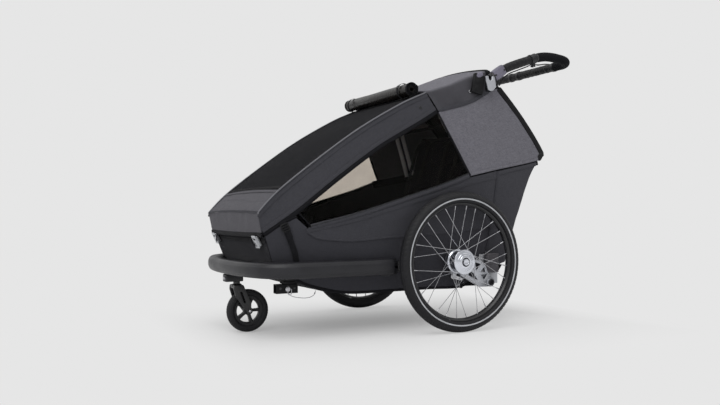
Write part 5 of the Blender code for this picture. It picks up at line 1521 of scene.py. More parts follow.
def bent(corners: Keys, radius: float, steps: int = 9) -> Array:
    """Return a path through corner points whose inner corners are circular arcs."""
    known = np.asarray(corners, dtype=float)
    back, ahead = unit(known[:-2] - known[1:-1]), unit(known[2:] - known[1:-1])
    half = np.arccos(np.clip((back * ahead).sum(1), -1, 1))[:, None] / 2
    middle = known[1:-1] + unit(back + ahead) * radius / np.sin(half)
    reach = radius / np.tan(half)
    start, end = known[1:-1] + back * reach - middle, known[1:-1] + ahead * reach - middle
    turn = (math.pi - 2 * half)[:, :, None]
    t = np.linspace(0, 1, steps)[None, :, None]
    arcs = start[:, None] * np.sin((1 - t) * turn) + end[:, None] * np.sin(t * turn)
    arcs = middle[:, None] + arcs / np.sin(turn)
    return np.vstack([known[:1], arcs.reshape(-1, known.shape[1]), known[-1:]])


def relief_lathe(profile: Array, steps: int, relief: Array) -> Shape:
    """Turn a closed profile of (radius, x) about X, raised by relief along its outward normal."""
    ahead = np.roll(profile, -1, 0) - np.roll(profile, 1, 0)
    normal = unit(np.column_stack([-ahead[:, 1], ahead[:, 0]]))
    angle = np.linspace(0, FULL_TURN, steps, endpoint=False)[None]
    radius = profile[:, :1] + normal[:, :1] * relief
    x = profile[:, 1:] + normal[:, 1:] * relief
    return grid_shape(np.stack([x, radius * np.cos(angle), radius * np.sin(angle)], axis=-1), True, True)


@dataclass
class RearWheel(OneSide):
    """One rear wheel: tyre with its tread and stripe, rim, spokes, drum hub and release button."""

    tyre_centre: float = 0.2265
    tyre_half: float = 0.0235
    bead: float = 0.2098
    bead_half: float = 0.0125
    rim_outer: float = 0.2095
    rim_inner: float = 0.2000
    rim_half: float = 0.0135
    stripe_radius: float = 0.2235
    stripe_width: float = 0.0046
    tread_depth: float = 0.0013
    tread_repeats: int = 84
    spokes_per_flange: int = 14
    spoke: float = 0.0010
    spoke_lean: float = 52.0
    hub: float = 0.044

    def piece(self, name: str, shape: Shape, finish: Finish, body: str = "", hides: Sequence[str] = (),
              crease: float = SOFT_CREASE, slot: Slot | None = None) -> bpy.types.Object:
        """Add a piece, worked out about the hub, to this wheel or to another body."""
        return super().piece(name, shape.moved(*WHEEL_CENTRE), finish, body or "wheel_" + self.label, hides,
                             crease, slot)

    def build(self) -> None:
        """Build every piece of the wheel."""
        self.build_tyre()
        self.build_rim()
        self.build_hub()
        self.build_spokes()

    def build_tyre(self) -> None:
        """Build the tyre: a round section with tread cut into its crown, and a stripe on its outer side."""
        arc = np.radians(np.linspace(-38, 218, 46))
        crown = np.column_stack([self.tyre_centre + self.tyre_half * np.sin(arc), self.tyre_half * np.cos(arc)])
        flank = np.array([(self.bead, self.bead_half), (self.bead + 0.0016, self.bead_half + 0.0022)])
        profile = np.vstack([flank, crown, flank[::-1] * (1, -1), [(self.bead, 0.0)]])
        steps = self.tread_repeats * 8
        pitch = FULL_TURN * 0.25 / self.tread_repeats
        run = np.linspace(0, FULL_TURN * 0.25, steps, endpoint=False)[None]
        x = profile[:, 1:]
        wide = np.abs(x)
        top = smooth_step(profile[:, :1], 0.2385, 0.2415)
        zigzag = 0.0058 + 0.0012 * np.abs((run / pitch) % 1.0 - 0.5) * 4
        groove = 1 - smooth_step(np.abs(wide - zigzag), 0.0004, 0.0013)
        phase = ((run + np.sign(x) * pitch * 0.25 + wide * 0.9) / pitch) % 1.0
        lug = (1 - smooth_step(np.abs(phase - 0.5), 0.10, 0.20)) * smooth_step(wide, 0.0072, 0.0084)
        relief = -self.tread_depth * np.clip(groove + lug, 0, 1) * top
        ribs = 0.0005 * hump(profile[:, :1], 0.2165, 0.0012) + 0.0005 * hump(profile[:, :1], 0.2315, 0.0010)
        self.piece("tyre_casing", relief_lathe(profile, steps, relief + ribs), Finish.TYRE_RUBBER,
                   hides=("tyre",))
        ring = np.linspace(-0.5, 0.5, 5) * self.stripe_width + self.stripe_radius
        flat = np.sqrt(self.tyre_half ** 2 - (ring - self.tyre_centre) ** 2)
        outer, inner = np.column_stack([ring, flat + 0.00045]), np.column_stack([ring, flat - 0.0006])
        stripe = lathe(np.vstack([outer, inner[::-1]]), 144, True)
        self.piece("tyre_stripe", stripe, Finish.STRIPE)

    def build_rim(self) -> None:
        """Build the rim: a double-walled channel with rolled lips, and its valve."""
        outer, inner, half = self.rim_outer, self.rim_inner, self.rim_half
        profile = [(outer, half), (outer - 0.0006, half - 0.0012), (outer - 0.0012, 0.0),
                   (outer - 0.0006, 0.0012 - half), (outer, -half), (outer - 0.0030, -half),
                   (outer - 0.0050, -half * 0.86), (inner + 0.0010, -half * 0.52), (inner, -half * 0.30),
                   (inner, half * 0.30), (inner + 0.0010, half * 0.52), (outer - 0.0050, half * 0.86),
                   (outer - 0.0030, half)]
        self.piece("rim_channel", lathe(eased(profile, 0.0008), 144, True), Finish.BLACK_METAL, hides=("rim",))
        valve = lathe([(0, -0.001), (0.0032, 0.0), (0.0032, 0.004), (0.0026, 0.005), (0.0026, 0.017),
                       (0.0030, 0.0175), (0.0030, 0.026), (0.0022, 0.0275), (0.0, 0.0277)], 16)
        self.piece("valve", valve.turned(90, "Y").moved(z=-self.rim_inner).turned(-25, "X"),
                   Finish.BLACK_RUBBER)

    def build_hub(self) -> None:
        """Build the polished drum hub with its stepped cap, and the release button in it."""
        big = self.hub
        profile = [(0.0068, 0.0195), (0.0126, 0.0195), (0.0126, 0.0285), (0.0140, 0.0292), (0.0235, 0.0290),
                   (0.0250, 0.0272), (0.0305, 0.0262), (0.0320, 0.0246), (0.0375, 0.0232), (0.0395, 0.0222),
                   (big - 0.001, 0.0220), (big, 0.0208), (big, 0.0165), (big - 0.0012, 0.0150),
                   (big - 0.0060, 0.0132), (big - 0.0068, 0.0040), (big - 0.0060, -0.0150),
                   (big - 0.0050, -0.0182), (big - 0.0012, -0.0205), (big, -0.0220), (big, -0.0290),
                   (big - 0.001, -0.0300), (0.0300, -0.0300), (0.0290, -0.0288), (0.0068, -0.0288)]
        shell = lathe(eased(profile, 0.0011), 96, True)
        self.piece("hub_shell", shell, Finish.POLISHED_METAL, hides=("spoked_hub",))
        seat = lathe(eased([(0.0128, 0.0276), (0.0128, 0.0298), (0.0150, 0.0302), (0.0166, 0.0290),
                            (0.0166, 0.0276)], 0.0006), 48, True)
        self.piece("hub_ring", seat, Finish.DARK_PLASTIC)
        knob = [(0.0, 0.0245), (0.0100, 0.0245), (0.0120, 0.0252), (0.0121, 0.0318), (0.0112, 0.0333),
                (0.0095, 0.0335), (0.0084, 0.0326), (0.0040, 0.0318), (0.0, 0.0317)]
        self.piece("release_knob", lathe(knob, 48), Finish.POLISHED_METAL, "axle_button_" + self.label,
                   ("axle_button",))

    def build_spokes(self) -> None:
        """Build the crossed spokes: each leaves the flange spoke_lean degrees ahead of or behind its end."""
        count = self.spokes_per_flange
        index = np.arange(count)
        lean = np.where(index % 2 == 1, 1.0, -1.0)
        base, tip = self.hub - 0.003, self.rim_inner - 0.0009
        ends, tops = [], []
        for flange, x, shift in ((1.0, 0.0190, 0.25), (-1.0, -0.0255, 0.75)):
            angle = FULL_TURN * (index + shift) / count
            root = angle + lean * math.radians(self.spoke_lean)
            ends.append(np.column_stack([x + lean * 0.0015, base * np.cos(root), base * np.sin(root)]))
            at_rim = flange * 0.0022 + 0.0013 * lean
            tops.append(np.column_stack([at_rim, tip * np.cos(angle), tip * np.sin(angle)]))
        start, end = np.vstack(ends), np.vstack(tops)
        run = end - start
        mean = float(np.linalg.norm(run, axis=1).mean())
        straight = tube([(0.0, 0.0, 0.0), (mean * 0.5, 0.0, 0.0), (mean, 0.0, 0.0)], self.spoke, 7)
        outward = np.array([[1.0, 0.0, 0.0]])
        head = lathe([(0, -0.0012), (0.0019, -0.0008), (0.0021, 0.0), (0.0019, 0.0008), (0, 0.0012)], 10)
        heads = copies(head, start, outward, np.array([[0.0, 0.3, 1.0]]))
        nipple = lathe([(0, -0.013), (0.0016, -0.013), (0.0019, -0.0125), (0.0019, -0.003), (0.0024, -0.0015),
                        (0.0024, 0.0008), (0, 0.0012)], 10)
        self.piece("spokes", copies(straight, start, run, outward).joined(heads), Finish.STEEL,
                   slot=Slot.SILVER_METAL)
        self.piece("spoke_nipples", copies(nipple, end, run, outward), Finish.STEEL, slot=Slot.SILVER_METAL)


@dataclass
class Suspension(OneSide):
    """One side's swing arm, its rubber damper and pivot, and the fixed parts of the drum brake."""

    pivot: tuple[float, float] = (0.163, 0.166)
    arm_x: float = 0.342
    thickness: float = 0.012
    damper: Point = (0.32555, 0.185, 0.236)
    damper_size: Point = (0.0185, 0.054, 0.072)

    def build(self) -> None:
        """Build every piece of this side."""
        self.build_arm()
        self.build_damper()
        self.build_brake()

    def build_arm(self) -> None:
        """Build the cast arm: a plate with openings, raised rims and turned bosses."""
        hub, pivot, hub_bore, pivot_bore = (-0.163, 0.084), (0.0, 0.0), 0.0068, 0.0096
        outline = np.vstack([arc_of(hub, 0.034, 19, 75, 285), [(-0.128, 0.026), (-0.050, -0.015)],
                             arc_of(pivot, 0.0165, 15, -110, 80),
                             [(-0.013, 0.037), (-0.022, 0.060), (-0.044, 0.081), (-0.076, 0.087)]])
        openings = [[(-0.071, 0.076), (-0.045, 0.069), (-0.065, 0.045)],
                    [(-0.030, 0.058), (-0.025, 0.038), (-0.048, 0.042)],
                    [(-0.045, 0.030), (-0.016, 0.031), (-0.031, 0.011)],
                    [(-0.104, 0.052), (-0.078, 0.036), (-0.060, 0.010), (-0.100, 0.030)]]
        holes = [eased(opening, 0.004) for opening in openings]
        bores = [arc_of(hub, hub_bore, 20), arc_of(pivot, pivot_bore, 20)]
        parts = [plate(outline, holes + bores, self.thickness - 0.004, 0.0008)]
        for loop in holes:
            middle = loop.mean(axis=0)
            parts.append(plate(middle + (loop - middle) * 1.16, [loop], self.thickness - 0.0002, 0.0007))
        inward = unit(np.column_stack([-np.gradient(outline[:, 1]), np.gradient(outline[:, 0])]))
        shrunk = eased(outline + inward * 0.0045, 0.002)
        parts.append(plate(outline, [shrunk], self.thickness - 0.0001, 0.0009))
        for centre, bore, boss in ((hub, hub_bore, 0.0165), (pivot, pivot_bore, 0.0150)):
            parts.append(plate(arc_of(centre, boss, 40), [arc_of(centre, bore, 24)], self.thickness, 0.0010))
        self.piece("swing_casting", joined(parts).moved(self.arm_x, *self.pivot), Finish.CAST_METAL,
                   "swing_arm_" + self.label, ("swing_arm",), HARD_CREASE)
        head = [(0.0, 0.0022), (0.0052, 0.0022), (0.0058, 0.0044), (0.0098, 0.0046), (0.0113, 0.0034),
                (0.0115, 0.0008), (0.0086, 0.0006), (0.0086, -0.0125), (0.0, -0.0125)]
        bolt = lathe(head, 32).moved(self.arm_x + self.thickness / 2, *self.pivot)
        self.piece("pivot_cap", bolt, Finish.DARK_PLASTIC, "chassis", ("pivot_bolt",))

    def build_damper(self) -> None:
        """Build the rubber spring block: a rounded bar with four moulded waists."""
        width, depth, height = self.damper_size
        z = np.linspace(-0.5, 0.5, 61) * height
        waist = 1.0 - 0.055 * (0.5 - 0.5 * np.cos((z / height + 0.5) * FULL_TURN * 4)) ** 3
        path = np.column_stack([np.zeros(61), np.zeros(61), z])
        bar = sweep(path, box_section(width, depth, 0.006, 5), (0.0, 1.0, 0.0), scale=waist, rounding=0.004)
        lugs = joined([block((0.015, 0.030, 0.007), 0.002).moved(z=shift) for shift in (-0.0330, 0.0330)])
        self.piece("damper_block", bar.joined(lugs).moved(*self.damper), Finish.GREY_RUBBER,
                   "chassis", ("suspension_damper",))

    def build_brake(self) -> None:
        """Build the drum's back plate with its anchor, and the cable's lower end."""
        back = lathe(eased([(0.0068, -0.0432), (0.0180, -0.0432), (0.0200, -0.0405), (0.0385, -0.0392),
                            (0.0400, -0.0375), (0.0400, -0.0310), (0.0068, -0.0310)], 0.0012), 64, True)
        anchor = block((0.006, 0.014, 0.026), 0.002).moved(-0.0370, -0.006, -0.046)
        self.piece("brake_plate", back.joined(anchor).moved(*WHEEL_CENTRE), Finish.FRAME_METAL,
                   "swing_arm_" + self.label)
        route = [(0.318, 0.060, 0.176), (0.322, 0.056, 0.166), (0.328, 0.050, 0.157), (0.334, 0.042, 0.152),
                 (0.341, 0.032, 0.152), (0.347, 0.022, 0.157), (0.352, 0.016, 0.166), (0.354, 0.0145, 0.173)]
        line = smooth_line(route, 60)
        cable = tube(line, 0.0022, 10, 0.001)
        ferrule = tube(line[-14:-4], 0.0028, 12, 0.0006).joined(tube(line[2:10], 0.0027, 12, 0.0006))
        self.piece("brake_cable_end", cable, Finish.BLACK_RUBBER, "chassis", ("brake_cable",))
        self.piece("cable_ferrules", ferrule, Finish.STEEL, "chassis")


@dataclass
class Bumper:
    """The moulded bumper that runs round the nose, with its mounts."""

    half_path: Keys = ((0.338, -0.235), (0.338, -0.400), (0.338, -0.560), (0.334, -0.610), (0.320, -0.655),
                       (0.292, -0.692), (0.248, -0.715), (0.178, -0.734), (0.088, -0.745), (0.0, -0.748))
    height: float = 0.240
    depth: float = 0.044
    tall: float = 0.056

    def build(self) -> None:
        """Build the bumper as a swept rounded section with a moulded line, and its two mounts."""
        half = smooth_line(self.half_path, 120)
        path = np.vstack([half, half[-2::-1] * (-1, 1)])
        line = np.column_stack([path, np.full(len(path), self.height)])
        section = oval(self.depth, self.tall, 48, 2.5)
        crease = 0.0010 * np.exp(-((np.abs(section[:, 1]) - 0.0175) / 0.0016) ** 2)
        section = section * (1 - crease / np.linalg.norm(section, axis=1))[:, None]
        slim = 1.0 - 0.07 * smooth_step(-path[:, 1], 0.62, 0.73)
        bar = sweep(line, section, scale=slim, rounding=0.020)
        add_piece("bumper_moulding", bar, Finish.BUMPER_PLASTIC, "chassis", ("bumper",))
        mount = block((0.015, 0.066, 0.036), 0.006).moved(0.3235, -0.222, self.height - 0.002)
        mount = mount.joined(block((0.012, 0.034, 0.060), 0.005).moved(0.3215, -0.268, self.height - 0.004))
        screw = lathe([(0, 0.0012), (0.0024, 0.0012), (0.0030, 0.0026), (0.0052, 0.0024), (0.0058, 0.0010),
                       (0.0058, -0.001), (0, -0.001)], 24).moved(0.3312, -0.206, self.height)
        for label, side in SIDES:
            part = OneSide(label, side)
            part.piece("bumper_mount", mount, Finish.DARK_PLASTIC, "chassis")
            part.piece("bumper_screw", screw, Finish.STEEL, "chassis")


@dataclass
class CasterWheel:
    """The stroller front wheel with its fork and the socket under the bumper."""

    stem_y: float = -0.703
    trail: float = 0.040
    radius: float = 0.077
    rim: float = 0.053
    crown_z: float = 0.170

    def build(self) -> None:
        """Build the socket, the fork, the rim and the tyre."""
        self.build_socket()
        self.build_fork()
        self.build_rim()
        self.build_tyre()

    def build_socket(self) -> None:
        """Build the moulded socket: a flanged sleeve with ribs, joined to its latch housing."""
        sleeve = [(0.0128, -0.021), (0.0182, -0.021), (0.0195, -0.0195), (0.0195, -0.010), (0.0188, -0.009),
                  (0.0188, 0.009), (0.0195, 0.010), (0.0195, 0.021), (0.0128, 0.021)]
        turned = lathe(eased(sleeve, 0.001), 48, True).turned(-90, "Y").moved(0, self.stem_y, 0.205)
        outline = [(-0.021, -0.033), (0.021, -0.033), (0.021, 0.033), (-0.021, 0.033)]
        housing = plate(eased(outline, 0.008), [arc_of((0.0, 0.013), 0.0132, 32)], 0.0268, 0.003)
        housing = housing.turned(-90, "Y").turned(90, "Z").moved(0.0, -0.716, 0.1977)
        add_piece("socket_moulding", turned.joined(housing), Finish.DARK_PLASTIC, "chassis",
                  ("caster_socket",), HARD_CREASE)
        ribs = []
        for degrees in (-60, 0, 60):
            angle = math.radians(degrees)
            rib = block((0.0024, 0.020, 0.018), 0.001).turned(degrees, "Z")
            ribs.append(rib.moved(-0.021 * math.sin(angle), self.stem_y + 0.021 * math.cos(angle), 0.213))
        add_piece("socket_ribs", joined(ribs), Finish.DARK_PLASTIC, "chassis")

    def build_fork(self) -> None:
        """Build the fork: two tapering legs under a bridged crown, a collar and the stem."""
        y, top = self.stem_y, self.crown_z
        outline = np.vstack([arc_of((self.trail, 0.0), 0.011, 15, -120, 60),
                             [(0.046, 0.030), (0.030, 0.064), (0.017, 0.095), (-0.017, 0.095), (-0.019, 0.079),
                              (-0.010, 0.050), (0.014, 0.018)]])
        holes = [arc_of((self.trail, 0.0), 0.0048, 20),
                 eased([(0.004, 0.070), (0.012, 0.070), (0.026, 0.030), (0.018, 0.032)], 0.003)]
        leg = plate(eased(outline, 0.004), holes, 0.0065, 0.0014)
        legs = [leg.moved(x, y, self.radius) for x in (-0.0255, 0.0255)]
        bridge = block((0.0535, 0.034, 0.015), 0.005, 5).moved(0, y, top - 0.0045)
        collar = lathe(eased([(0.0, -0.006), (0.0185, -0.006), (0.0185, 0.003), (0.0150, 0.0052),
                              (0.0124, 0.006), (0.0, 0.006)], 0.001), 48).turned(-90, "Y").moved(0, y, top)
        stem = lathe([(0, -0.02), (0.0122, -0.02), (0.0122, 0.0245), (0.0105, 0.026), (0, 0.026)], 40)
        stem = stem.turned(-90, "Y").moved(0, y, top + 0.022)
        add_piece("fork_casting", joined([*legs, bridge, collar, stem]), Finish.BLACK_METAL,
                  "caster_fork", ("caster_fork",), MOULDED_CREASE)

    def build_rim(self) -> None:
        """Build the moulded rim: a flanged ring, five tapering spokes with ribs, and a hub."""
        ring = [(self.rim, 0.0140), (0.0490, 0.0142), (0.0440, 0.0128), (0.0420, 0.0060), (0.0420, -0.0060),
                (0.0440, -0.0128), (0.0490, -0.0142), (self.rim, -0.0140)]
        hub = [(0.0049, 0.0172), (0.0118, 0.0172), (0.0134, 0.0160), (0.0160, 0.0085), (0.0160, -0.0085),
               (0.0134, -0.0160), (0.0118, -0.0172), (0.0049, -0.0172)]
        parts = [lathe(eased(ring, 0.001), 96, True), lathe(eased(hub, 0.001), 48, True)]
        path = np.column_stack([np.zeros(9), np.zeros(9), np.linspace(0.0125, 0.0470, 9)])
        width = np.linspace(1.0, 1.35, 9) + 0.25 * np.linspace(-1, 1, 9) ** 2
        for k in range(5):
            spoke = sweep(path, box_section(0.0085, 0.0180, 0.0025, 4), (1.0, 0.0, 0.0), scale=width)
            rib = sweep(path[1:-1], box_section(0.0030, 0.0215, 0.001, 3), (1.0, 0.0, 0.0),
                        scale=width[1:-1] * 0.9)
            parts.append(spoke.joined(rib).turned(72 * k + 54, "X"))
        shape = joined(parts).moved(0, self.stem_y + self.trail, self.radius)
        add_piece("caster_wheel_moulding", shape, Finish.DARK_PLASTIC, "caster_wheel",
                  ("caster_rim",), MOULDED_CREASE)

    def build_tyre(self) -> None:
        """Build the solid tyre: an oval section with three grooves round it and side ribs."""
        keys = [(self.rim + 0.0003, 0.0140), (0.0570, 0.0172), (0.0630, 0.0190), (0.0690, 0.0176),
                (0.0738, 0.0138), (0.0762, 0.0080), (self.radius, 0.0)]
        half = smooth_line(keys, 30)
        profile = np.vstack([half, half[-2::-1] * (1, -1)])
        wide = np.abs(profile[:, 1:])
        crown = smooth_step(profile[:, :1], 0.070, 0.0735)
        groove = hump(wide, 0.0055, 0.0011) + hump(wide, 0.0112, 0.0011)
        angle = np.linspace(0, FULL_TURN, 240, endpoint=False)[None]
        phase = (angle * 48 / FULL_TURN + np.sign(profile[:, 1:]) * 0.25) % 1.0
        cuts = hump(phase, 0.5, 0.16) * smooth_step(wide, 0.0060, 0.0072)
        ribs = 0.0005 * hump(profile[:, :1], 0.0610, 0.0012)
        relief = -0.0011 * np.clip(groove + cuts * 0.9, 0, 1) * crown + ribs
        shape = relief_lathe(profile, 240, relief).moved(0, self.stem_y + self.trail, self.radius)
        add_piece("caster_tyre_casing", shape, Finish.TYRE_RUBBER, "caster_wheel", ("caster_tyre",))


@dataclass
class Hitch:
    """The drawbar receiver under the left side, its pin, and the pin's wire lanyard."""

    place: Point = (0.250, -0.6125, 0.175)
    outer: float = 0.0155
    inner: float = 0.0120
    length: float = 0.076
    route: Keys = ((0.270, -0.6125, 0.1644), (0.270, -0.6110, 0.1600), (0.270, -0.6060, 0.1550),
                   (0.270, -0.5920, 0.1480), (0.270, -0.5700, 0.1435), (0.270, -0.5480, 0.1415),
                   (0.270, -0.5300, 0.1440), (0.270, -0.5190, 0.1500), (0.270, -0.5140, 0.1580),
                   (0.270, -0.5125, 0.1655))
    wire: float = 0.0022

    def build(self) -> None:
        """Build the receiver with its strap plate, the pin with its clip, and the lanyard."""
        outer, inner = self.outer, self.inner
        square, hole = ([(-r, -r), (r, -r), (r, r), (-r, r)] for r in (outer, inner))
        box = plate(eased(square, 0.003), [eased(hole, 0.0015)], self.length, 0.0007).turned(90, "Z")
        flange = block((0.036, 0.098, 0.009), 0.003).moved(0.0, 0.034, outer + 0.0055)
        flange = flange.joined(block((0.036, 0.040, 0.010), 0.003).moved(0.0, 0.010, outer + 0.0145))
        add_piece("hitch_receiver", box.joined(flange).moved(*self.place), Finish.BLACK_RUBBER,
                  "chassis", ("hitch_bracket",), HARD_CREASE, Slot.DARK_PLASTIC)
        rivet = lathe([(0, 0.0018), (0.0026, 0.0016), (0.0044, 0.0002), (0.0044, -0.001), (0, -0.001)], 20)
        spots = [(outer, shift, lift) for shift, lift in ((-0.024, 0.002), (0.026, 0.002))]
        rivets = joined([rivet.moved(*spot) for spot in spots]).moved(*self.place)
        add_piece("hitch_rivets", rivets, Finish.BLACK_METAL, "chassis", slot=Slot.STEEL)
        pin = [(0.0, 0.0228), (0.0070, 0.0228), (0.0088, 0.0216), (0.0090, 0.0185), (0.0078, 0.0174),
               (0.0045, 0.0172), (0.0045, -0.0190), (0.0036, -0.0205), (0.0, -0.0205)]
        shank = lathe(pin, 32)
        loop = bent([(0.0200, 0.0, 0.0), (0.0200, 0.0, -0.020), (0.0200, 0.013, -0.020), (0.0200, 0.013, 0.0)],
                    0.006)
        clip = tube(smooth_line(loop, 40), 0.0012, 8, 0.0008)
        add_piece("hitch_pin_turning", shank.joined(clip).moved(*self.place), Finish.STEEL, "hitch_pin",
                  ("hitch_pin",))
        line = smooth_line(self.route, 70)
        cord = sweep(line, oval(self.wire, self.wire, 10), (1.0, 0.0, 0.0))
        item = add_piece("lanyard_wire", cord, Finish.STEEL, "", ("hitch_lanyard",))
        sleeves = joined([sweep(part, oval(0.0038, 0.0038, 12), (1.0, 0.0, 0.0), rounding=0.0006)
                          for part in (line[3:8], line[-9:-4])])
        ends = add_piece("lanyard_ferrules", sleeves, Finish.STEEL)
        for part in (item, ends):
            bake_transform(part)
        round(length_of(line), 4)


@dataclass
class NoseHooks:
    """The stamped metal hooks that hold the hood's lip, with their elastic loops."""

    place: Point = (0.235, -0.7120, 0.333)
    tilt: float = 26.0
    loop: Keys = ((-0.034, 0.006, 0.030), (-0.031, -0.004, 0.008), (-0.018, 0.000, -0.012),
                  (-0.006, 0.002, -0.004), (-0.010, -0.002, 0.014), (-0.020, 0.004, 0.030))

    def build(self) -> None:
        """Build both hooks: a stamped plate with a slot and a rolled end, and a loop of cord."""
        outline = eased([(-0.018, -0.023), (0.018, -0.023), (0.018, 0.023), (-0.018, 0.023)], 0.007)
        opening = eased([(-0.011, 0.006), (0.011, 0.006), (0.011, 0.012), (-0.011, 0.012)], 0.0028)
        stamped = plate(outline, [opening], 0.0028, 0.0008).turned(90, "Z")
        flanges = [block((0.0026, 0.011, 0.036), 0.0011).moved(x, 0.0055) for x in (-0.0165, 0.0165)]
        roll = tube([(x, 0.0, 0.0) for x in (-0.0165, 0.0, 0.0165)], 0.0028, 14, 0.001)
        rivet = lathe([(0, 0.0018), (0.0028, 0.0016), (0.0042, 0.0004), (0.0042, -0.001), (0, -0.001)], 20)
        hook = stamped.joined(*flanges, roll.moved(0, -0.0005, -0.0205),
                              rivet.turned(-90, "Z").moved(0, -0.0014, -0.009))
        hook = hook.turned(self.tilt, "X").moved(*self.place)
        elastic = tube(smooth_line(np.array(self.loop) + self.place, 60), 0.0021, 8, 0.001)
        for label, side in SIDES:
            part = OneSide(label, side)
            part.piece("hook_stamping", hook, Finish.FRAME_METAL, "chassis", ("hood_hook",), HARD_CREASE)
            part.piece("hook_elastic", elastic, Finish.WEBBING, "chassis")


@dataclass
class RollHoop:
    """Twin posts each side of the cabin, joined above the children's heads."""

    base: tuple[float, float] = (0.163, 0.570)
    top: tuple[float, float] = (0.100, 0.780)
    x: float = 0.247
    tube_radius: float = 0.0085
    half_gap: float = 0.015
    bar_share: float = 0.95

    def build(self) -> None:
        """Build the posts, their clamps and the padded cross tube."""
        base, run = np.array(self.base), np.array(self.top) - self.base
        lean = math.degrees(math.atan2(run[0], run[1]))
        posts, low, high = [], [], []
        for side in (1.0, -1.0):
            x = side * self.x
            for shift in (0.0, 2 * self.half_gap):
                path = [(x, base[0] + shift + run[0] * t, base[1] + run[1] * t) for t in (0, 0.5, 1.0)]
                posts.append(tube(path, self.tube_radius, 20, 0.003))
            for clamps, height, share in ((low, 0.014, 0.06), (high, 0.018, self.bar_share)):
                at = base + run * share
                clamp = block((0.021, 0.052, height), 0.004).turned(-lean, "X")
                clamps.append(clamp.moved(x, at[0] + self.half_gap, at[1]))
        at = base + run * self.bar_share
        bar = tube([(x, at[0] + self.half_gap, at[1]) for x in (-self.x, 0, self.x)], 0.0070, 20)
        add_piece("hoop_tubes", joined(posts), Finish.POST_METAL, "roll_hoop", ("roll_hoop",))
        add_piece("hoop_bar_cover", bar, Finish.FOAM, "roll_hoop", slot=Slot.FRAME_TUBE)
        add_piece("hoop_clamps", joined(low + high), Finish.DARK_PLASTIC, "roll_hoop")


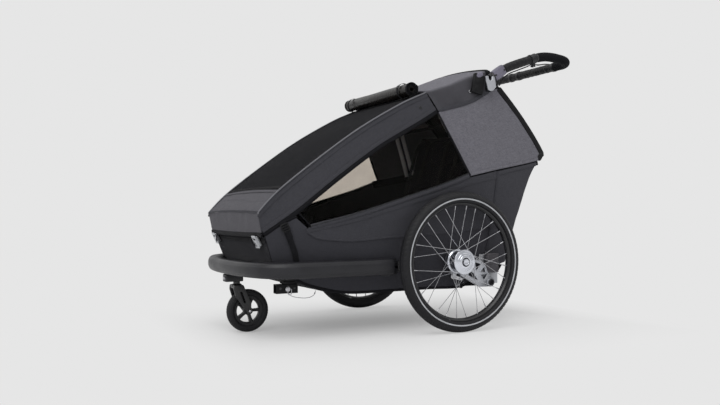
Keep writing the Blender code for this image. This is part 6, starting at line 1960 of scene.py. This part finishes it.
@dataclass
class PushBar:
    """The stroller push bar: hinges, latches, gussets, sleeves, bar, foam grip and brake lever."""

    x: float = 0.312
    radius: float = 0.0150
    grip: float = 0.0180
    thin: float = 0.0158
    grip_start: float = 0.416
    cover_half: float = 0.205
    rear_y: float = 0.598
    rear_z: float = 1.0245
    corner: float = 0.054
    arm: Keys = ((0.190, 0.930), (0.231, 0.9540), (0.275, 0.9775), (0.320, 0.9950), (0.383, 1.0170),
                 (0.418, 1.0280), (0.460, 1.0362), (0.500, 1.0370), (0.540, 1.0335))
    lever_pivot: tuple[float, float] = (0.404, 0.9985)
    cable: Keys = ((0.3925, 0.9990), (0.375, 0.9915), (0.350, 0.9820), (0.320, 0.9705), (0.290, 0.9590),
                   (0.268, 0.9460), (0.250, 0.9280), (0.236, 0.9060))
    plate: Keys = ((-0.023, 0.025), (-0.012, 0.027), (-0.009, 0.013), (-0.002, 0.009), (0.004, 0.013),
                   (0.007, 0.027), (0.016, 0.025), (0.020, 0.008), (0.024, -0.013), (0.010, -0.027),
                   (-0.002, -0.0295), (-0.013, -0.025), (-0.018, -0.006), (-0.023, 0.010))

    def line(self) -> Array:
        """Return the bar's middle line from the left hinge round to the right one."""
        side_run = smooth_line(self.arm, 46)
        left = np.column_stack([np.full(46, self.x), side_run])[:-1]
        turn = bent([(self.x, *self.arm[-1]), (self.x, self.rear_y, self.rear_z),
                     (0.0, self.rear_y, self.rear_z)], self.corner, 15)
        half = respaced(np.vstack([left, turn]), 150)
        return np.vstack([half, half[-2::-1] * (-1, 1, 1)])

    def build(self) -> None:
        """Build every piece of the bar."""
        line = self.line()
        add_piece("bar_tube", tube(line, self.radius, 24, 0.002), Finish.BLACK_METAL, "push_bar", ("push_bar",))
        self.build_grip(line)
        for label, side in SIDES:
            self.build_side(OneSide(label, side), line)
        self.build_lever()

    def build_grip(self, line: Array) -> None:
        """Build the foam grip round both corners and the crinkled sleeve between them."""
        first = int(np.argmax(line[:, 1] > self.grip_start))
        foam_line = line[first:len(line) - first]
        size = 1.0 + 0.008 * np.sin(np.linspace(0, 90, len(foam_line)))
        size *= 1 - (1 - self.thin / self.grip) * smooth_step(0.208 - np.abs(foam_line[:, 0]), 0.0, 0.006)
        size[:2] = size[-2:] = 0.97
        across = 2 * self.grip - 0.0004
        foam = sweep(foam_line, oval(across, across, 28), UPRIGHT, scale=size, rounding=0.004)
        add_piece("foam_sleeve", foam, Finish.FOAM, "push_bar", ("foam_grip",))
        x = np.linspace(self.cover_half, -self.cover_half, 260)[:, None]
        angle = np.linspace(0, FULL_TURN, 40, endpoint=False)
        wrinkle = ripples(x, angle[None] * 0.019, 0.045, 131, 8)
        reach = self.thin + 0.0009 + 0.0009 * np.abs(wrinkle) + 0.0003 * np.sin(x * 190)
        ends = smooth_step(self.cover_half - np.abs(x), 0.0, 0.006)
        reach = (self.thin - 0.0006) * (1 - ends) + reach * ends
        grid = np.stack([np.broadcast_to(x, reach.shape), self.rear_y + reach * np.cos(angle),
                         self.rear_z + reach * np.sin(angle)], axis=-1)
        cover = capped(grid, grid[0][:, 1:])
        add_piece("crossbar_cover", cover, Finish.SLEEVE, "push_bar")
        inner, outer, half = self.thin - 0.001, self.grip + 0.0012, 0.007
        ring = lathe(eased([(inner, -half), (outer, -half), (outer, half), (inner, half)], 0.0012), 40, True)
        rings = [ring.moved(at, self.rear_y, self.rear_z) for at in (0.213, -0.010, -0.062, -0.213)]
        add_piece("crossbar_rings", joined(rings), Finish.DARK_PLASTIC, "push_bar")

    def build_side(self, side: OneSide, line: Array) -> None:
        """Build one side's hinge with its cover, latch plate, a pale rail that paints the gusset edge's
        highlight, gusset and padded sleeve.
        """
        ridge = block((0.004, 0.036, 0.050), 0.002).moved(x=0.0065)
        hinge = block((0.016, 0.050, 0.076), 0.006, 5).joined(ridge)
        side.piece("hinge_body", hinge.turned(-12, "X").moved(0.3110, 0.139, 0.906), Finish.BLACK_RUBBER,
                   "upper_body", ("bar_hinge",), slot=Slot.DARK_PLASTIC)
        cover = sweep([(0.311, 0.126, 0.932), (0.311, 0.142, 0.939), (0.311, 0.158, 0.946)],
                      box_section(0.022, 0.020, 0.006), scale=np.array([0.8, 1.0, 0.9]), rounding=0.005)
        side.piece("hinge_cover", cover, Finish.GREY_CASTING, "upper_body")
        tab = plate(eased(self.plate, 0.0022), [], 0.007, 0.0016).moved(0.3315, 0.182, 0.909)
        side.piece("latch_plate", tab, Finish.CAST_METAL, "latch_" + side.label, ("latch_tab",), HARD_CREASE)
        # A thin rail whose pale grey along the gusset's edge is a painted highlight of that edge.
        rail = sweep([(0.3300, 0.192, 0.950), (0.3300, 0.199, 0.930), (0.3300, 0.207, 0.908)],
                     box_section(0.004, 0.0055, 0.0015))
        side.piece("latch_rail", rail, Finish.GREY_RUBBER, "push_bar")
        t = np.linspace(0, 1, 25)
        path = np.column_stack([np.zeros(25), (t - 0.5) * 0.060, np.zeros(25)])
        casting = sweep(path, box_section(0.0270, 0.0410, 0.008, 6), scale=0.95 + 0.05 * np.sin(t * math.pi),
                        rounding=0.006)
        rib = sweep(path[3:-3], box_section(0.0284, 0.010, 0.003, 4), rounding=0.004)
        gusset = casting.joined(rib).turned(34, "X").moved(self.x + 0.0015, 0.231, 0.954)
        side.piece("gusset_casting", gusset, Finish.GREY_CASTING, "push_bar")
        near = line[(line[:, 0] > 0.3) & (line[:, 1] > 0.256) & (line[:, 1] < 0.385)]
        path = respaced(near, 70)
        u = np.linspace(0, 1, 70)
        bulge = 1.0 + 0.030 * np.sin(u * math.pi) + 0.012 * np.sin(u * 41) + 0.006 * np.sin(u * 97 + 1)
        sleeve = sweep(path, oval(0.0330, 0.0330, 28, 2.2), scale=bulge, rounding=0.004)
        seam = sweep(path[3:-3] + (0.0, 0.0, -0.0166), box_section(0.003, 0.0022, 0.001, 3))
        side.piece("arm_sleeve", sleeve.joined(seam), Finish.SLEEVE, "push_bar")

    def build_lever(self) -> None:
        """Build the collar with its lug, the lever blade and the cable under the left arm."""
        profile = [(self.radius + 0.0003, -0.0150), (0.0178, -0.0150), (0.0192, -0.0132), (0.0192, -0.0092),
                   (0.0182, -0.0080), (0.0182, 0.0080), (0.0192, 0.0092), (0.0192, 0.0132), (0.0178, 0.0150),
                   (self.radius + 0.0003, 0.0150)]
        collar = lathe(eased(profile, 0.0008), 48, True).turned(90, "Z").turned(18, "X")
        collar = collar.moved(self.x, 0.3995, 1.0225)
        cheeks = joined([block((0.0036, 0.014, 0.018), 0.0016).moved(self.x + shift, 0.402, 1.0000)
                         for shift in (-0.0056, 0.0056)])
        add_piece("lever_collar", collar.joined(cheeks), Finish.DARK_PLASTIC, "push_bar")
        y, z = self.lever_pivot
        edge = np.array([(0.028, 0.0010), (0.056, 0.0065), (0.075, 0.0080), (0.090, 0.0080), (0.0925, 0.0095),
                         (0.092, 0.0110), (0.075, 0.0120), (0.056, 0.0110), (0.028, 0.0060)])
        blade = plate(np.vstack([arc_of((0, 0), 0.0046, 10, 110, 290), edge]), [arc_of((0, 0), 0.0018, 12)],
                      0.0060, 0.0014)
        add_piece("lever_blade", blade.moved(self.x, y, z), Finish.BLACK_METAL, "brake_lever",
                  ("brake_lever",), HARD_CREASE)
        line = np.column_stack([np.full(90, self.x), smooth_line(self.cable, 90)])
        cable = sweep(line, oval(0.0044, 0.0044, 12), rounding=0.001)
        add_piece("lever_cable", cable, Finish.BLACK_RUBBER, "push_bar", ("bar_brake_cable",))
        ferrule = sweep(line[:10], oval(0.0058, 0.0058, 12), rounding=0.0008)
        add_piece("lever_ferrule", ferrule, Finish.STEEL, "push_bar")


@dataclass
class Frame:
    """The CAD pieces that keep their own shape: tubes, axles, brake arms and a button."""

    finishes: dict[str, Finish] = field(default_factory=lambda: {
        "lower_frame": Finish.FRAME_METAL, "upper_frame": Finish.FRAME_METAL, "wheel_axle": Finish.STEEL,
        "caster_axle": Finish.STEEL, "brake_arm": Finish.STEEL, "caster_button": Finish.STEEL})

    def build(self) -> None:
        """Dress each kept CAD piece in its finish."""
        for name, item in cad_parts.items():
            for start, finish in self.finishes.items():
                if name.startswith(start):
                    for place in item.material_slots:
                        place.material = finish.look
                    LOG.info("%s keeps its CAD shape", name)


@dataclass
class Studio:
    """Floor, light, backdrop colour and camera."""

    backdrop: float = 0.791
    ambient: float = 0.50
    floor_colour: float = 0.80
    floor_half: float = 14.0
    azimuth: float = 62.8908
    pitch: float = 0.7056
    roll: float = -0.4081
    eye: Point = (2.5872, -1.4498, 0.4307)
    lens: float = 37.21

    def build(self) -> None:
        """Build the whole studio."""
        self.build_camera()
        self.build_world()
        self.build_floor()
        self.build_lamps()
        bpy.context.scene.view_settings.view_transform = "Standard"

    def build_camera(self) -> None:
        """Set the camera where the photograph was taken from.

        It looks along the direction given by azimuth and pitch, turned by roll about it.
        """
        azimuth, pitch, roll = (math.radians(a) for a in (self.azimuth, self.pitch, self.roll))
        forward = Vector((-math.sin(azimuth) * math.cos(pitch), math.cos(azimuth) * math.cos(pitch),
                          math.sin(pitch)))
        level = Vector((math.cos(azimuth), math.sin(azimuth), 0.0))
        rise = level.cross(forward)
        right = level * math.cos(roll) + rise * math.sin(roll)
        up = rise * math.cos(roll) - level * math.sin(roll)
        data = bpy.data.cameras.new("camera")
        data.lens, data.sensor_width = self.lens, 36.0
        camera = new_object("camera", data)
        camera.matrix_world = Matrix((right, up, -forward)).transposed().to_4x4()
        camera.location = self.eye
        bpy.context.scene.camera = camera

    def unlit_rays(self, wires: Wiring) -> bpy.types.NodeSocket:
        """Return 1 for the rays that should see the backdrop: those of the camera and through glass."""
        path = wires.add("LightPath")
        return wires.maths("MAXIMUM", path["Is Camera Ray"], path["Is Transmission Ray"])

    def build_world(self) -> None:
        """Set an even sky that lights softly and looks like the backdrop."""
        world = bpy.data.worlds.new("studio")
        bpy.context.scene.world = world
        world.use_nodes = True
        wires = Wiring(world.node_tree)
        wires.feed(world.node_tree.nodes["Background"], {
            "Color": (1.0, 1.0, 1.0, 1.0),
            "Strength": wires.mix(self.unlit_rays(wires), self.ambient, self.backdrop)})

    def build_floor(self) -> None:
        """Build the floor: matt under the trailer, and the backdrop's own colour round it."""
        line = np.linspace(-1, 1, 5) * self.floor_half
        x, y = np.meshgrid(line, line)
        shape = grid_shape(np.stack([x, y, np.zeros_like(x)], axis=-1))
        mesh = bpy.data.meshes.new("floor")
        mesh.from_pydata(shape.points.tolist(), [], shape.faces[0].tolist())
        material, wires, shader, where = start_material("floor")
        wires.tree.nodes.remove(shader)
        ways = wires.add("SeparateXYZ", {0: where["Object"]})
        across, along = (wires.maths("ABSOLUTE", ways[k]) for k in (0, 1))
        outside = wires.maths("MAXIMUM", wires.maths("POWER", wires.spread(across, 0.05, 0.85, 0.58), 2.0),
                              wires.spread(along, 0.45, 0.85))
        matt = wires.add("BsdfDiffuse", {"Color": (self.floor_colour,) * 3 + (1.0,)})[0]
        plain = wires.add("Emission", {"Color": (self.backdrop,) * 3 + (1.0,)})[0]
        share = wires.times(outside, self.unlit_rays(wires))
        wires.feed(wires.tree.nodes["Material Output"],
                   {"Surface": wires.add("MixShader", {0: share, 1: matt, 2: plain})[0]})
        mesh.materials.append(material)
        new_object("floor", mesh)

    def build_lamps(self) -> None:
        """Set a broad key from the upper left front, and two weaker fills."""
        for name, energy, width, turn in (("key", 1.30, 50.0, (38.0, 6.0, 38.0)),
                                          ("fill", 0.45, 70.0, (52.0, 0.0, -60.0)),
                                          ("back", 0.35, 60.0, (40.0, 0.0, 170.0))):
            data = bpy.data.lights.new(name, "SUN")
            data.energy, data.angle = energy, math.radians(width)
            new_object(name, data).rotation_euler = [math.radians(a) for a in turn]


def main() -> None:
    """Build the trailer piece by piece, then the studio round it."""
    logging.basicConfig(level=logging.INFO, format="%(message)s")
    Studio().build()
    Hitch().build()
    outline = BodyOutline()
    for label, side in SIDES:
        SideFabric(label, side, outline).build()
        RearWheel(label, side).build()
        Suspension(label, side).build()
    TopFabric(outline).build()
    RainCover().build()
    Seat().build()
    RollHoop().build()
    Bumper().build()
    CasterWheel().build()
    NoseHooks().build()
    PushBar().build()
    Frame().build()


if __name__ == "__main__":
    main()
